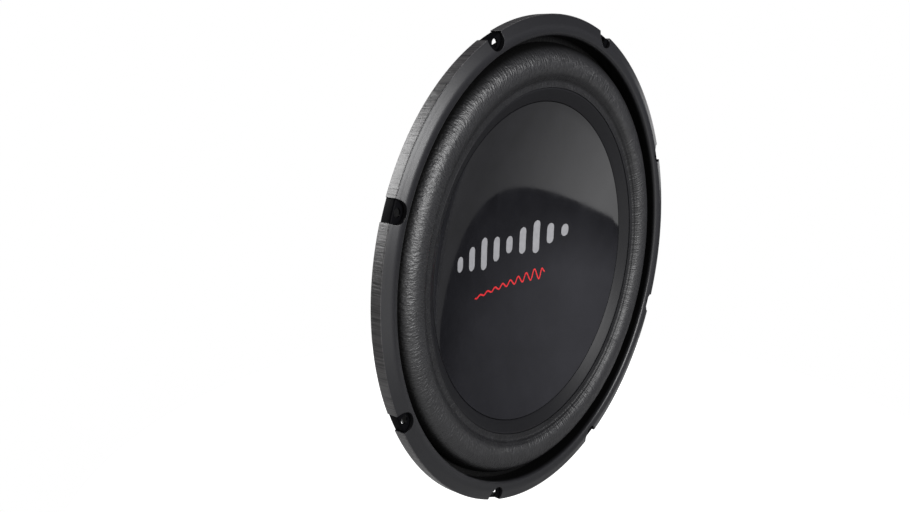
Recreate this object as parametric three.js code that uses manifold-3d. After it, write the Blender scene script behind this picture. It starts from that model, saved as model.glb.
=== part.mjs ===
// A slim 30 cm class car subwoofer loudspeaker with a dual voice coil.
// Millimetres, +Z up. The speaker's axis is Y and its face looks along -Y.
// The origin is on the axis, in the plane of the board that the speaker is screwed to.
// An azimuth is measured round the axis from +Z towards +X.
import * as THREE from "three";
import { mergeVertices } from "three/addons/utils/BufferGeometryUtils.js";
import Module from "manifold-3d";

const wasm = await Module();
wasm.setup();

// ---- driving dimensions ----
const RING_SIDES = 32;          // facets round every large ring
const HOLE_SIDES = 10;          // facets round small holes
const PIN_SIDES = 8;            // facets round rivets and the smallest holes
const GAP = 0.3;                // clearance between touching pieces

const OUTER_RADIUS = 160;       // outside of the trim ring
const PARTING_Y = -7.8;         // edge between the trim ring's side and its face
const CROWN_Y = -9.9;           // highest point of the trim ring
const LIP_RADIUS = 147.3;       // inner edge of the trim ring
const STEEL = 1.2;              // sheet thickness of the basket
const RIM_RADIUS = 158.9;       // outside of the basket's turned-down rim
const FLANGE_Y = -7;            // front face of the raised screw annulus
const CHANNEL_RADIUS = 150.9;   // inner edge of the raised screw annulus
const CUTOUT_RADIUS = 149.7;    // the part of the basket that passes through the board
const LEDGE_Y = 4.5;            // front face of the ledge that the surround is glued to
const LEDGE_RADIUS = 134;       // inner edge of that ledge

const SCREW_COUNT = 8;
const SCREW_CIRCLE = 155.2;     // radius of the screw hole circle
const SCREW_HOLE = 2.6;         // radius of a screw hole
const NOTCH_RADIUS = 6.7;       // half width of a trim ring notch
const FIRST_SCREW = 22.5;       // azimuth of the first screw hole

const ARM_COUNT = 6;
const ARM_HALF_WIDTH = 15;
const FIRST_ARM = 30;           // azimuth of the first arm
const WINDOW_OUTER = 122;       // a window reaches from this radius
const WINDOW_INNER = 92;        // to this one
const WINDOW_CORNER = 6;
const WALL_START = { radius: 130, y: 8 }; // front end of the sloping wall that holds the windows
const CUP_RADIUS = 84;          // inside of the cylindrical wall round the spider
const CUP_Y = 27;               // front end of that wall
const LANDING_Y = 42;           // front face of the spider landing
const LANDING_RADIUS = 71;      // inner edge of that landing
const PLATE_Y = 53;             // front face of the top plate
const SEAT_Y = PLATE_Y - 1.6;   // front face of the basket's seat on the top plate
const SEAT_RADIUS = 60;
const SEAT_BORE = 46;

const ROLL_RADIUS = 131.5;      // middle of the surround's roll
const ROLL_HALF_WIDTH = 12.3;
const ROLL_CREST_Y = -8.8;
const RUBBER = 1.2;             // thickness of the surround
const RIM_FLANGE_Y = -3.8;      // front face of the surround's inner flange
const CONE_RIM = 116;           // radius where the surround ends on the cone
const DISH_RADIUS = 107.4;
const DISH_EDGE_Y = 0.9;
const DISH_CENTRE_Y = 20;
const DISH_SHEET = 1.3;
const CONE_SHEET = 1.4;

const FORMER_RADIUS = 25.7;     // outside of the voice coil former
const NECK_Y = 36;              // rear end of the cone's neck
const COIL_START = 49;
const COIL_END = 65;
const WIRE_LAYER = 0.8;
const POLE_RADIUS = 24.3;
const PLATE_THICKNESS = 8;
const PLATE_RADIUS = 62;
const PLATE_BORE = 29;
const MAGNET_RADIUS = 66;
const MAGNET_BORE = 34;
const MAGNET_THICKNESS = 8;
const YOKE_RADIUS = 60;
const YOKE_THICKNESS = 7.5;
const VENT_RADIUS = 10;
const SCREEN_RADIUS = 13.6;     // of the perforated disc in the rear end of the vent
const BOOT_Y = 64;              // front edge of the magnet boot
const BOOT_BORE = 32;
const BOOT_SHEET = 1.7;
const SPIDER_Y = LANDING_Y - 1;
const SPIDER_ROLLS = 4;

const PLATE_RIVETS = 6;
const PLATE_RIVET_CIRCLE = 53;
const RIVET_HOLE = 2.6;         // radius of a rivet's hole in the seat and the top plate
const RIVET_SHANK = 2.2;
const RIVET_HEAD = 1.6;         // height of its head
const TERMINAL_Y = 37;          // middle of a terminal block
const BLOCK_HALF = { y: 8.5, z: 17 };
const EAR_HALF = { y: 5, z: 25 };
const EAR_OUT = 88;             // outer face of a block's ears
const EAR_HOLE = 1.9;           // radius of the rivet holes in the ears and the cup wall
const EAR_SHANK = 1.5;          // radius of a rivet in one of those holes
const EAR_RIVET_IN = 79.4;      // inner face that its head bears on
const TERMINAL_PITCH = 8;       // distance of each push button from the block's middle
const BUTTON_OUT = 106.4;       // outer end of a push button at rest
const BUTTON_IN = 95.5;         // inner end of a push button at rest
const BLOCK_OUT = 103.4;        // outer face of a terminal block
const POCKET_FLOOR = 88.5;      // bottom of the pocket that a push button slides in
const POCKET_FRONT = TERMINAL_Y - 6.3; // the pocket's extent along Y
const POCKET_REAR = TERMINAL_Y + 5.7;
const POCKET_HALF = 4.9;        // half of the pocket's width
const WIRE_HOLE = 1.6;          // radius of the hole that a speaker wire goes through
const CONTACT_Y = TERMINAL_Y - 5.5; // middle of a contact strip
const CONTACT_HALF = 2.2;       // half of the strip's width
const CONTACT_SHEET = 0.8;
const LUG_END = 76.5;           // inner end of a contact strip, where its lead is soldered
const EAR_PITCH = 20.5;         // distance of a block's rivets from its middle
const LEAD_RADIUS = 1.1;
const BUTTON_TRAVEL = 3;
const BUTTON_FRONT = POCKET_FRONT + 1.7;
const BUTTON_REAR = POCKET_REAR - GAP;
const THUMB_RADIUS = 9;         // of the hollow in a button's end
const BUTTON_HOLE = 101.5;      // a button's cross hole at rest

const MAGNET_FRONT_Y = PLATE_Y + PLATE_THICKNESS + GAP;
const MAGNET_REAR_Y = MAGNET_FRONT_Y + MAGNET_THICKNESS + GAP;
const YOKE_Y = MAGNET_REAR_Y + MAGNET_THICKNESS + GAP;

// ---- materials ----
const paint = (color, roughness, metalness = 0) =>
  new THREE.MeshStandardMaterial({ color, roughness, metalness });
const STEEL_PAINT = [0x0b0b0c, 0.3, 0.2];
const TRIM_RUBBER = [0x2a2a2c, 0.5];
const ROLL_RUBBER = [0x1d1d1f, 0.6];
const GLOSS_BLACK = [0x0a0a0b, 0.12];
const FERRITE = [0x2b2b2e, 0.75, 0.1];
const ZINC = [0x8d9094, 0.35, 0.9];
const COPPER = [0x9a4a22, 0.35, 0.9];
const COPPER_BRAID = [0xb07a4a, 0.5, 0.8];
const FORMER_FILM = [0xb8862c, 0.4];
const SPIDER_CLOTH = [0x6f5a2e, 0.9];
const TERMINAL_PLASTIC = [0x111112, 0.45];
const BUTTON_RED = [0x9c0d12, 0.4];
const BUTTON_BLACK = [0x151516, 0.4];

// ---- geometry helpers ----
const radians = THREE.MathUtils.degToRad;
const point = (r, y) => new THREE.Vector2(r, y);

// Points on an ellipse round (r, y), from one angle to another, both ends included.
function arc(r, y, halfR, halfY, from, to, steps) {
  return Array.from({ length: steps + 1 }, (_, i) => {
    const a = radians(from + ((to - from) * i) / steps);
    return point(r + halfR * Math.cos(a), y + halfY * Math.sin(a));
  });
}

// A body turned round the Y axis from an outline of [radius, y] points.
// An outline that doesn't start and end on the axis is closed on itself.
function turned(outline, sides = RING_SIDES) {
  const points = outline.map((p) => (p.isVector2 ? p : point(...p)));
  if (THREE.ShapeUtils.area(points) < 0) points.reverse();
  const solidToAxis = points[0].x === 0 && points.at(-1).x === 0;
  if (!solidToAxis) points.push(points[0].clone());
  return new THREE.LatheGeometry(points, sides);
}

function toSolid(geometry) {
  const bare = geometry.clone();
  bare.deleteAttribute("normal");
  bare.deleteAttribute("uv");
  const merged = mergeVertices(bare, 1e-4);
  const triVerts = Uint32Array.from(merged.index.array);
  const vertProperties = Float32Array.from(merged.attributes.position.array);
  return new wasm.Manifold(new wasm.Mesh({ numProp: 3, vertProperties, triVerts }));
}

function toGeometry(solid) {
  const { vertProperties, triVerts } = solid.getMesh();
  const geometry = new THREE.BufferGeometry();
  geometry.setAttribute("position", new THREE.BufferAttribute(vertProperties, 3));
  geometry.setIndex(new THREE.BufferAttribute(triVerts, 1));
  geometry.computeVertexNormals();
  return geometry;
}

const cut = (body, cutters) =>
  toGeometry(cutters.reduce((solid, cutter) => solid.subtract(toSolid(cutter)), toSolid(body)));

const join = (...pieces) =>
  toGeometry(pieces.map(toSolid).reduce((whole, piece) => whole.add(piece)));

// A box from its lowest and highest corners.
function block(low, high) {
  const size = high.map((v, i) => v - low[i]);
  const middle = high.map((v, i) => (v + low[i]) / 2);
  return new THREE.BoxGeometry(...size).translate(...middle);
}

// A round bar along X, Y or Z between two places on that axis.
function bar(axis, from, to, radius, sides = HOLE_SIDES) {
  const geometry = new THREE.CylinderGeometry(radius, radius, to - from, sides);
  geometry.translate(0, (from + to) / 2, 0);
  if (axis === "x") geometry.rotateZ(-Math.PI / 2);
  if (axis === "z") geometry.rotateX(Math.PI / 2);
  return geometry;
}

// A prism whose outline lies in the plane of tangent and radius, between two places on Y.
function axialPrism(shape, from, to) {
  const options = { depth: to - from, bevelEnabled: false, curveSegments: 5 };
  const geometry = new THREE.ExtrudeGeometry(shape, options);
  return geometry.rotateX(Math.PI / 2).translate(0, to, 0);
}

const around = (count, first, make) =>
  Array.from({ length: count }, (_, i) => make(i).rotateY(radians(first + (360 * i) / count)));

const group = new THREE.Group();

function add(name, geometry, [color, roughness, metalness], parent = group) {
  const mesh = new THREE.Mesh(geometry, paint(color, roughness, metalness));
  mesh.name = name;
  parent.add(mesh);
  return mesh;
}

// ---- basket ----
// Steel sheet: rim, raised screw annulus, step, surround ledge, sloping wall, spider cup, plate seat.
function basketSheet() {
  return turned([
    [RIM_RADIUS, 0],
    [RIM_RADIUS, FLANGE_Y],
    [CHANNEL_RADIUS, FLANGE_Y],
    [CHANNEL_RADIUS, -STEEL],
    [CUTOUT_RADIUS - STEEL, -STEEL],
    [CUTOUT_RADIUS - STEEL, LEDGE_Y],
    [LEDGE_RADIUS, LEDGE_Y],
    [WALL_START.radius, WALL_START.y],
    [CUP_RADIUS + 2, CUP_Y - 2],
    [CUP_RADIUS, CUP_Y],
    [CUP_RADIUS, LANDING_Y],
    [LANDING_RADIUS, LANDING_Y],
    [LANDING_RADIUS - 4, LANDING_Y + 4],
    [SEAT_RADIUS, SEAT_Y],
    [SEAT_BORE, SEAT_Y],
    [SEAT_BORE, SEAT_Y + STEEL],
    [SEAT_RADIUS + STEEL, SEAT_Y + STEEL],
    [LANDING_RADIUS - 4 + STEEL, LANDING_Y + 4.6],
    [LANDING_RADIUS + 0.6, LANDING_Y + STEEL],
    [CUP_RADIUS + STEEL, LANDING_Y + STEEL],
    [CUP_RADIUS + STEEL, CUP_Y + 0.6],
    [WALL_START.radius + 0.8, WALL_START.y + STEEL],
    [LEDGE_RADIUS + 0.4, LEDGE_Y + STEEL],
    [CUTOUT_RADIUS, LEDGE_Y + STEEL],
    [CUTOUT_RADIUS, 0],
    [CHANNEL_RADIUS + STEEL, 0],
    [CHANNEL_RADIUS + STEEL, FLANGE_Y + STEEL],
    [RIM_RADIUS - 1, FLANGE_Y + STEEL],
    [RIM_RADIUS - 1, 0],
  ]);
}

// One window between two arms, cut straight through along Y. The arms keep their width.
function windowCutter() {
  const upright = Math.PI / 2;
  const spread = (r) => Math.PI / ARM_COUNT - Math.asin(ARM_HALF_WIDTH / r);
  const on = (r, hand) => {
    const angle = upright + hand * spread(r);
    return [r * Math.cos(angle), r * Math.sin(angle)];
  };
  const outer = spread(WINDOW_OUTER) - WINDOW_CORNER / WINDOW_OUTER;
  const inner = spread(WINDOW_INNER) - WINDOW_CORNER / WINDOW_INNER;
  const shape = new THREE.Shape();
  shape.absarc(0, 0, WINDOW_OUTER, upright - outer, upright + outer);
  shape.lineTo(...on(WINDOW_OUTER - WINDOW_CORNER, 1));
  shape.lineTo(...on(WINDOW_INNER + WINDOW_CORNER, 1));
  shape.absarc(0, 0, WINDOW_INNER, upright + inner, upright - inner, true);
  shape.lineTo(...on(WINDOW_INNER + WINDOW_CORNER, -1));
  shape.lineTo(...on(WINDOW_OUTER - WINDOW_CORNER, -1));
  shape.closePath();
  return axialPrism(shape, WALL_START.y - 3, CUP_Y + 3);
}

// The hole for one of a terminal block's rivets, through the ear and the cup wall.
const earHole = (hand) =>
  bar("x", CUP_RADIUS - 6, EAR_OUT + 2, EAR_HOLE, PIN_SIDES).translate(0, TERMINAL_Y, hand * EAR_PITCH);

// The holes that the contacts and rivets of one terminal need in the cup wall.
function terminalCutters(side) {
  const tall = [CONTACT_Y - 1.4, CONTACT_Y + 1.4];
  const slots = [-1, 1].map((hand) => {
    const z = hand * TERMINAL_PITCH;
    return block([CUP_RADIUS - 4, tall[0], z - 3], [EAR_OUT, tall[1], z + 3]);
  });
  const holes = [-1, 1].map((hand) => earHole(hand));
  return [...slots, ...holes].map((cutter) => cutter.rotateY(side > 0 ? 0 : Math.PI));
}

function basket() {
  const windows = around(ARM_COUNT, FIRST_ARM + 180 / ARM_COUNT, windowCutter);
  const screws = around(SCREW_COUNT, FIRST_SCREW, () =>
    bar("y", FLANGE_Y - 1, FLANGE_Y + 3, SCREW_HOLE).translate(0, 0, SCREW_CIRCLE));
  const rivets = around(PLATE_RIVETS, 0, () =>
    bar("y", SEAT_Y - 1, SEAT_Y + 3, RIVET_HOLE, PIN_SIDES).translate(0, 0, PLATE_RIVET_CIRCLE));
  const terminals = [1, -1].flatMap(terminalCutters);
  return cut(basketSheet(), [...windows, ...screws, ...rivets, ...terminals]);
}

// ---- trim ring ----
// An inner body against the channel wall, a crowned pad over the screws and a thin outer skirt.
function frontGasket() {
  const lip = PARTING_Y - 1.3;
  const ring = turned([
    [OUTER_RADIUS, -0.5],
    [OUTER_RADIUS, PARTING_Y],
    [OUTER_RADIUS - 1.5, PARTING_Y - 1.3],
    [154.5, CROWN_Y],
    [LIP_RADIUS, lip],
    [LIP_RADIUS, LEDGE_Y - 2.2],
    [CUTOUT_RADIUS - STEEL - GAP, LEDGE_Y - 2.2],
    [CUTOUT_RADIUS - STEEL - GAP, -STEEL - GAP],
    [CHANNEL_RADIUS - GAP, -STEEL - GAP],
    [CHANNEL_RADIUS - GAP, FLANGE_Y - GAP],
    [RIM_RADIUS + GAP, FLANGE_Y - GAP],
    [RIM_RADIUS + GAP, -0.5],
  ]);
  const notch = new THREE.Shape();
  const inner = CHANNEL_RADIUS - 0.2 + NOTCH_RADIUS;
  notch.moveTo(NOTCH_RADIUS, OUTER_RADIUS + 5);
  notch.lineTo(-NOTCH_RADIUS, OUTER_RADIUS + 5);
  notch.lineTo(-NOTCH_RADIUS, inner);
  notch.absarc(0, inner, NOTCH_RADIUS, Math.PI, 2 * Math.PI, false);
  notch.closePath();
  return cut(ring, around(SCREW_COUNT, FIRST_SCREW, () => axialPrism(notch, -15, 3)));
}

// ---- surround ----
// Outer flange, roll, fillet and inner flange. The rear face follows the front one.
function surround() {
  const footY = LEDGE_Y - 1.5;
  const height = footY - ROLL_CREST_Y;
  const outer = ROLL_HALF_WIDTH;
  const inner = ROLL_HALF_WIDTH - 3.3;
  const innerHeight = 3.6;
  const front = [
    point(CUTOUT_RADIUS - STEEL - GAP, footY - GAP),
    ...arc(ROLL_RADIUS, footY, outer, -height, 0, 90, 5),
    ...arc(ROLL_RADIUS, ROLL_CREST_Y + innerHeight, inner, -innerHeight, 120, 150, 1),
    point(CONE_RIM + 4.6, RIM_FLANGE_Y),
    point(CONE_RIM + 0.2, RIM_FLANGE_Y),
  ];
  const rearFlange = RIM_FLANGE_Y + RUBBER;
  const rear = [
    point(CONE_RIM + 0.2, rearFlange),
    point(CONE_RIM + 5, rearFlange),
    ...arc(ROLL_RADIUS, ROLL_CREST_Y + innerHeight, inner - RUBBER, -innerHeight + RUBBER, 150, 120, 1),
    ...arc(ROLL_RADIUS, footY, outer - RUBBER, -height + RUBBER, 90, 0, 5),
    point(ROLL_RADIUS + outer - RUBBER, LEDGE_Y - GAP),
    point(CUTOUT_RADIUS - STEEL - GAP, LEDGE_Y - GAP),
  ];
  return turned([...front, ...rear]);
}

// ---- cone and dish ----
// Flange under the surround, locating step, sloping land, dish seat, straight cone, neck.
function coneBody() {
  const flange = RIM_FLANGE_Y + RUBBER + GAP;
  const seat = DISH_EDGE_Y + DISH_SHEET + 5 * GAP;
  return turned([
    [CONE_RIM + 4.4, flange],
    [CONE_RIM, flange],
    [CONE_RIM, RIM_FLANGE_Y + GAP],
    [CONE_RIM - 1, RIM_FLANGE_Y + GAP],
    [DISH_RADIUS + GAP, DISH_EDGE_Y],
    [DISH_RADIUS + GAP, seat],
    [DISH_RADIUS - 3, seat],
    [FORMER_RADIUS + 3, NECK_Y - 6],
    [FORMER_RADIUS + GAP, NECK_Y - 5],
    [FORMER_RADIUS + GAP, NECK_Y],
    [FORMER_RADIUS + 1.7, NECK_Y],
    [FORMER_RADIUS + 1.7, NECK_Y - 4.5],
    [FORMER_RADIUS + 4, NECK_Y - 5],
    [DISH_RADIUS - 2, seat + CONE_SHEET],
    [DISH_RADIUS + 1.6, seat + CONE_SHEET],
    [CONE_RIM + 0.5, flange + CONE_SHEET],
    [CONE_RIM + 4.4, flange + CONE_SHEET],
  ]);
}

// A shallow spherical bowl with a flat seat at its edge.
function frontDish() {
  const depth = DISH_CENTRE_Y - DISH_EDGE_Y;
  const sphere = (DISH_RADIUS ** 2 + depth ** 2) / (2 * depth);
  const bowl = (r) => DISH_CENTRE_Y - sphere + Math.sqrt(sphere ** 2 - r ** 2);
  const steps = 5;
  const radii = Array.from({ length: steps + 1 }, (_, i) => (DISH_RADIUS * i) / steps);
  const front = radii.map((r) => point(r, bowl(r)));
  const rear = radii.slice(0, -1).map((r) => point(r, bowl(r) + DISH_SHEET)).reverse();
  return turned([...front, point(DISH_RADIUS, DISH_EDGE_Y + DISH_SHEET), ...rear]);
}

// ---- voice coil and spider ----
const tube = (inner, outer, from, to, sides = RING_SIDES) =>
  turned([[inner, from], [outer, from], [outer, to], [inner, to]], sides);

// A cloth disc with concentric rolls between a collar on the former and a flange on the landing.
function spider() {
  const sheet = 0.8;
  const inside = FORMER_RADIUS + 4;
  const outside = CUP_RADIUS - 11;
  const amplitude = 2;
  const count = SPIDER_ROLLS * 2;
  const crests = Array.from({ length: count + 1 }, (_, i) => {
    const end = i === 0 || i === count;
    const lift = end ? 0 : amplitude * (i % 2 ? -1 : 1);
    return point(inside + ((outside - inside) * i) / count, SPIDER_Y + lift);
  });
  const flangeY = LANDING_Y - GAP;
  const collar = FORMER_RADIUS + 2 * GAP;
  const front = [
    point(collar, SPIDER_Y - 2),
    point(collar + sheet, SPIDER_Y - 2),
    point(collar + sheet, SPIDER_Y - 0.4),
    ...crests.map((p) => point(p.x, p.y - sheet / 2)),
    point(CUP_RADIUS - 0.6, flangeY - sheet),
  ];
  const rear = [
    point(CUP_RADIUS - 0.6, flangeY),
    ...crests.map((p) => point(p.x, p.y + sheet / 2)).reverse(),
    point(collar, SPIDER_Y + 0.4),
  ];
  return turned([...front, ...rear], 24);
}

// ---- motor ----
function topPlate() {
  const rear = PLATE_Y + PLATE_THICKNESS;
  const plate = turned([
    [PLATE_BORE, PLATE_Y],
    [PLATE_RADIUS, PLATE_Y],
    [PLATE_RADIUS, rear],
    [PLATE_BORE, rear],
  ]);
  const holes = around(PLATE_RIVETS, 0, () =>
    bar("y", PLATE_Y - 1, rear + 1, RIVET_HOLE, PIN_SIDES).translate(0, 0, PLATE_RIVET_CIRCLE));
  return cut(plate, holes);
}

// A ferrite ring with bevelled outer edges.
function magnet(from) {
  const to = from + MAGNET_THICKNESS;
  const bevel = 1.2;
  return turned([
    [MAGNET_BORE, from],
    [MAGNET_RADIUS - bevel, from],
    [MAGNET_RADIUS, from + bevel],
    [MAGNET_RADIUS, to - bevel],
    [MAGNET_RADIUS - bevel, to],
    [MAGNET_BORE, to],
  ]);
}

// The pole and the back plate in one forging, with a vent through the pole and a seat for its screen.
function tYoke() {
  const front = YOKE_Y;
  const rear = front + YOKE_THICKNESS;
  return turned([
    [VENT_RADIUS + 3, PLATE_Y - 1.5],
    [POLE_RADIUS, PLATE_Y - 1.5],
    [POLE_RADIUS, front - 2.5],
    [POLE_RADIUS + 3, front],
    [YOKE_RADIUS, front],
    [YOKE_RADIUS, rear - 1.5],
    [YOKE_RADIUS - 1.5, rear],
    [SCREEN_RADIUS + GAP, rear],
    [SCREEN_RADIUS + GAP, rear - 2],
    [SCREEN_RADIUS - 1.6, rear - 2],
    [VENT_RADIUS, rear - 6],
    [VENT_RADIUS, PLATE_Y + 4],
  ]);
}

// A thin disc with a hexagonal field of holes.
function ventScreen() {
  const pitch = 4.6;
  const shape = new THREE.Shape();
  shape.absarc(0, 0, SCREEN_RADIUS, 0, 2 * Math.PI);
  for (let row = -2; row <= 2; row += 1) {
    const count = 5 - Math.abs(row);
    for (let i = 0; i < count; i += 1) {
      const hole = new THREE.Path();
      hole.absarc((i - (count - 1) / 2) * pitch, row * pitch * Math.sqrt(0.75), 1.6, 0, 2 * Math.PI, true);
      shape.holes.push(hole);
    }
  }
  const sheet = 0.8;
  const rear = YOKE_Y + YOKE_THICKNESS - 2 + GAP + sheet;
  const disc = new THREE.ExtrudeGeometry(shape, { depth: sheet, bevelEnabled: false, curveSegments: 3 });
  return disc.rotateX(Math.PI / 2).translate(0, rear, 0);
}

// A moulded rubber cup over the magnets and the yoke, open in the middle for the vent.
function magnetBoot() {
  const rear = YOKE_Y + YOKE_THICKNESS + GAP;
  const wall = MAGNET_RADIUS + 0.7;
  return turned([
    [wall, BOOT_Y],
    [wall + BOOT_SHEET, BOOT_Y],
    [wall + BOOT_SHEET, rear - 6],
    [wall - 2.3, rear + 0.2],
    [YOKE_RADIUS, rear + BOOT_SHEET],
    [BOOT_BORE, rear + BOOT_SHEET],
    [BOOT_BORE, rear],
    [YOKE_RADIUS + 0.6, rear],
    [YOKE_RADIUS + 0.6, rear - 3],
    [wall, rear - 8],
  ]);
}

// Head on the basket's seat, shank through the seat and into the top plate.
function plateRivet() {
  const head = SEAT_Y - GAP;
  const end = PLATE_Y + PLATE_THICKNESS - 2;
  return turned([
    [0, head - RIVET_HEAD],
    [3, head - RIVET_HEAD],
    [4, head],
    [RIVET_SHANK, head],
    [RIVET_SHANK, end],
    [0, end],
  ], PIN_SIDES).translate(0, 0, PLATE_RIVET_CIRCLE);
}

// ---- terminals, built for the +X side ----
// A moulded body that fits the cup wall, with a pocket for each button and ears for two rivets.
function terminalBlock() {
  const low = [CUP_RADIUS - 2, TERMINAL_Y - BLOCK_HALF.y, -BLOCK_HALF.z];
  const body = block(low, [BLOCK_OUT, TERMINAL_Y + BLOCK_HALF.y, BLOCK_HALF.z]);
  const earLow = [CUP_RADIUS - 4, TERMINAL_Y - EAR_HALF.y, -EAR_HALF.z];
  const ears = block(earLow, [EAR_OUT, TERMINAL_Y + EAR_HALF.y, EAR_HALF.z]);
  const reach = 2 * BLOCK_HALF.y;
  const saddle = bar("y", TERMINAL_Y - reach, TERMINAL_Y + reach, CUP_RADIUS + STEEL + GAP, RING_SIDES);
  const pockets = [-1, 1].flatMap((hand) => {
    const z = hand * TERMINAL_PITCH;
    const wide = CONTACT_HALF + GAP;
    const pocketLow = [POCKET_FLOOR, POCKET_FRONT, z - POCKET_HALF];
    const stripLow = [CUP_RADIUS - 4, CONTACT_Y - CONTACT_SHEET, z - wide];
    const stripHigh = [POCKET_FLOOR + 1, CONTACT_Y + CONTACT_SHEET, z + wide];
    const wire = bar("y", POCKET_REAR - 1, POCKET_REAR + 4, WIRE_HOLE, PIN_SIDES);
    return [
      block(pocketLow, [BLOCK_OUT + 1, POCKET_REAR, z + POCKET_HALF]),
      block(stripLow, stripHigh),
      wire.translate(BUTTON_HOLE - BUTTON_TRAVEL, 0, z),
    ];
  });
  return cut(join(body, ears), [saddle, ...pockets, ...[-1, 1].map(earHole)]);
}

// A push button with a cross hole for the wire and a shallow thumb hollow.
function terminalButton(z) {
  const half = POCKET_HALF - GAP;
  const body = block([BUTTON_IN, BUTTON_FRONT, z - half], [BUTTON_OUT, BUTTON_REAR, z + half]);
  const wireHole = bar("y", POCKET_FRONT, POCKET_REAR + 1, WIRE_HOLE, PIN_SIDES).translate(BUTTON_HOLE, 0, z);
  const thumb = bar("z", z - 6, z + 6, THUMB_RADIUS, 20);
  thumb.translate(BUTTON_OUT + THUMB_RADIUS - 1, (BUTTON_FRONT + BUTTON_REAR) / 2, 0);
  return cut(body, [wireHole, thumb]);
}

// A flat strip from a soldering lug inside the cup wall to the side of the pocket.
function terminalContact(z) {
  const half = CONTACT_SHEET / 2;
  const end = BUTTON_HOLE - 2;
  return block([LUG_END, CONTACT_Y - half, z - CONTACT_HALF], [end, CONTACT_Y + half, z + CONTACT_HALF]);
}

class Helix extends THREE.Curve {
  constructor(radius, from, to, turns, y, z) {
    super();
    Object.assign(this, { radius, from, to, turns, y, z });
  }

  getPoint(t, target = new THREE.Vector3()) {
    const a = 2 * Math.PI * this.turns * t;
    const x = this.from + (this.to - this.from) * t;
    return target.set(x, this.y + this.radius * Math.cos(a), this.z + this.radius * Math.sin(a));
  }
}

function sweep(curve, radius, sides, steps) {
  const section = new THREE.Shape();
  section.absarc(0, 0, radius, 0, 2 * Math.PI);
  const options = { steps, bevelEnabled: false, extrudePath: curve, curveSegments: sides / 2 };
  return new THREE.ExtrudeGeometry(section, options);
}

// The return spring between the pocket's floor and the button.
function terminalSpring(z) {
  const wire = 0.35;
  const from = POCKET_FLOOR + GAP + wire;
  const to = BUTTON_IN - GAP - wire;
  const middle = (BUTTON_FRONT + BUTTON_REAR) / 2;
  return sweep(new Helix(2.6, from, to, 3.5, middle, z), wire, 4, 24);
}

// A rivet along X through an ear and the cup wall, with a head at each end.
function terminalRivet(z) {
  const inner = EAR_RIVET_IN;
  const face = EAR_OUT + GAP;
  const rivet = turned([
    [0, inner - 1],
    [2.6, inner - 1],
    [2.6, inner],
    [EAR_SHANK, inner],
    [EAR_SHANK, face],
    [3, face],
    [2, face + 1.3],
    [0, face + 1.3],
  ], PIN_SIDES);
  return rivet.rotateZ(-Math.PI / 2).translate(0, TERMINAL_Y, z);
}

// A braided lead from a soldering lug, slack across the front of the spider, to the cone's neck.
function tinselLead(z) {
  const route = [
    [LUG_END - GAP, CONTACT_Y],
    [70.5, 30.4],
    [64, 29.6],
    [56, 31.2],
    [48, 34.2],
    [40, 36],
    [33, 35.6],
    [FORMER_RADIUS + 1.2, NECK_Y - 2],
  ];
  const curve = new THREE.CatmullRomCurve3(route.map(([x, y]) => new THREE.Vector3(x, y, z)));
  return sweep(curve, LEAD_RADIUS, 8, 12);
}

function terminalSet(side) {
  const sign = side === "right" ? 1 : -1;
  const set = new THREE.Group();
  set.rotation.y = sign > 0 ? 0 : Math.PI;
  add(`terminal_block_${side}`, terminalBlock(), TERMINAL_PLASTIC, set);
  [1, 2].forEach((number) => {
    const z = (number === 1 ? -1 : 1) * TERMINAL_PITCH;
    const label = `${side}_${number}`;
    add(`terminal_button_${label}`, terminalButton(z), number === 1 ? BUTTON_RED : BUTTON_BLACK, set);
    add(`terminal_spring_${label}`, terminalSpring(z), ZINC, set);
    add(`terminal_contact_${label}`, terminalContact(z), ZINC, set);
    add(`terminal_rivet_${label}`, terminalRivet(Math.sign(z) * EAR_PITCH), ZINC, set);
    add(`tinsel_lead_${label}`, tinselLead(z), COPPER_BRAID, set);
  });
  group.add(set);
}

// ---- assembly ----
add("basket", basket(), STEEL_PAINT);
add("front_gasket", frontGasket(), TRIM_RUBBER);
add("surround", surround(), ROLL_RUBBER);
add("cone_body", coneBody(), GLOSS_BLACK);
add("front_dish", frontDish(), GLOSS_BLACK);
add("voice_coil_former", tube(FORMER_RADIUS - 0.4, FORMER_RADIUS, NECK_Y - 7, COIL_END + 1.5), FORMER_FILM);
const innerLayer = FORMER_RADIUS + GAP;
const outerLayer = innerLayer + WIRE_LAYER + GAP;
add("voice_coil_inner", tube(innerLayer, innerLayer + WIRE_LAYER, COIL_START, COIL_END), COPPER);
add("voice_coil_outer", tube(outerLayer, outerLayer + WIRE_LAYER, COIL_START, COIL_END), COPPER);
add("spider", spider(), SPIDER_CLOTH);
add("top_plate", topPlate(), ZINC);
add("magnet_front", magnet(MAGNET_FRONT_Y), FERRITE);
add("magnet_rear", magnet(MAGNET_REAR_Y), FERRITE);
add("t_yoke", tYoke(), ZINC);
add("vent_screen", ventScreen(), STEEL_PAINT);
add("magnet_boot", magnetBoot(), TRIM_RUBBER);
for (let i = 0; i < PLATE_RIVETS; i += 1) {
  const rivet = plateRivet().rotateY(radians((360 * i) / PLATE_RIVETS));
  add(`plate_rivet_${i + 1}`, rivet, ZINC);
}
terminalSet("right");
terminalSet("left");

export default group;
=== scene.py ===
# The looks of a 30 cm class car subwoofer loudspeaker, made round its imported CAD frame.
# The speaker's axis is Y and its face looks along -Y. Azimuths are measured from +Z towards +X.
import math

import bmesh
import bpy
from mathutils import Matrix, Vector, noise

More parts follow.
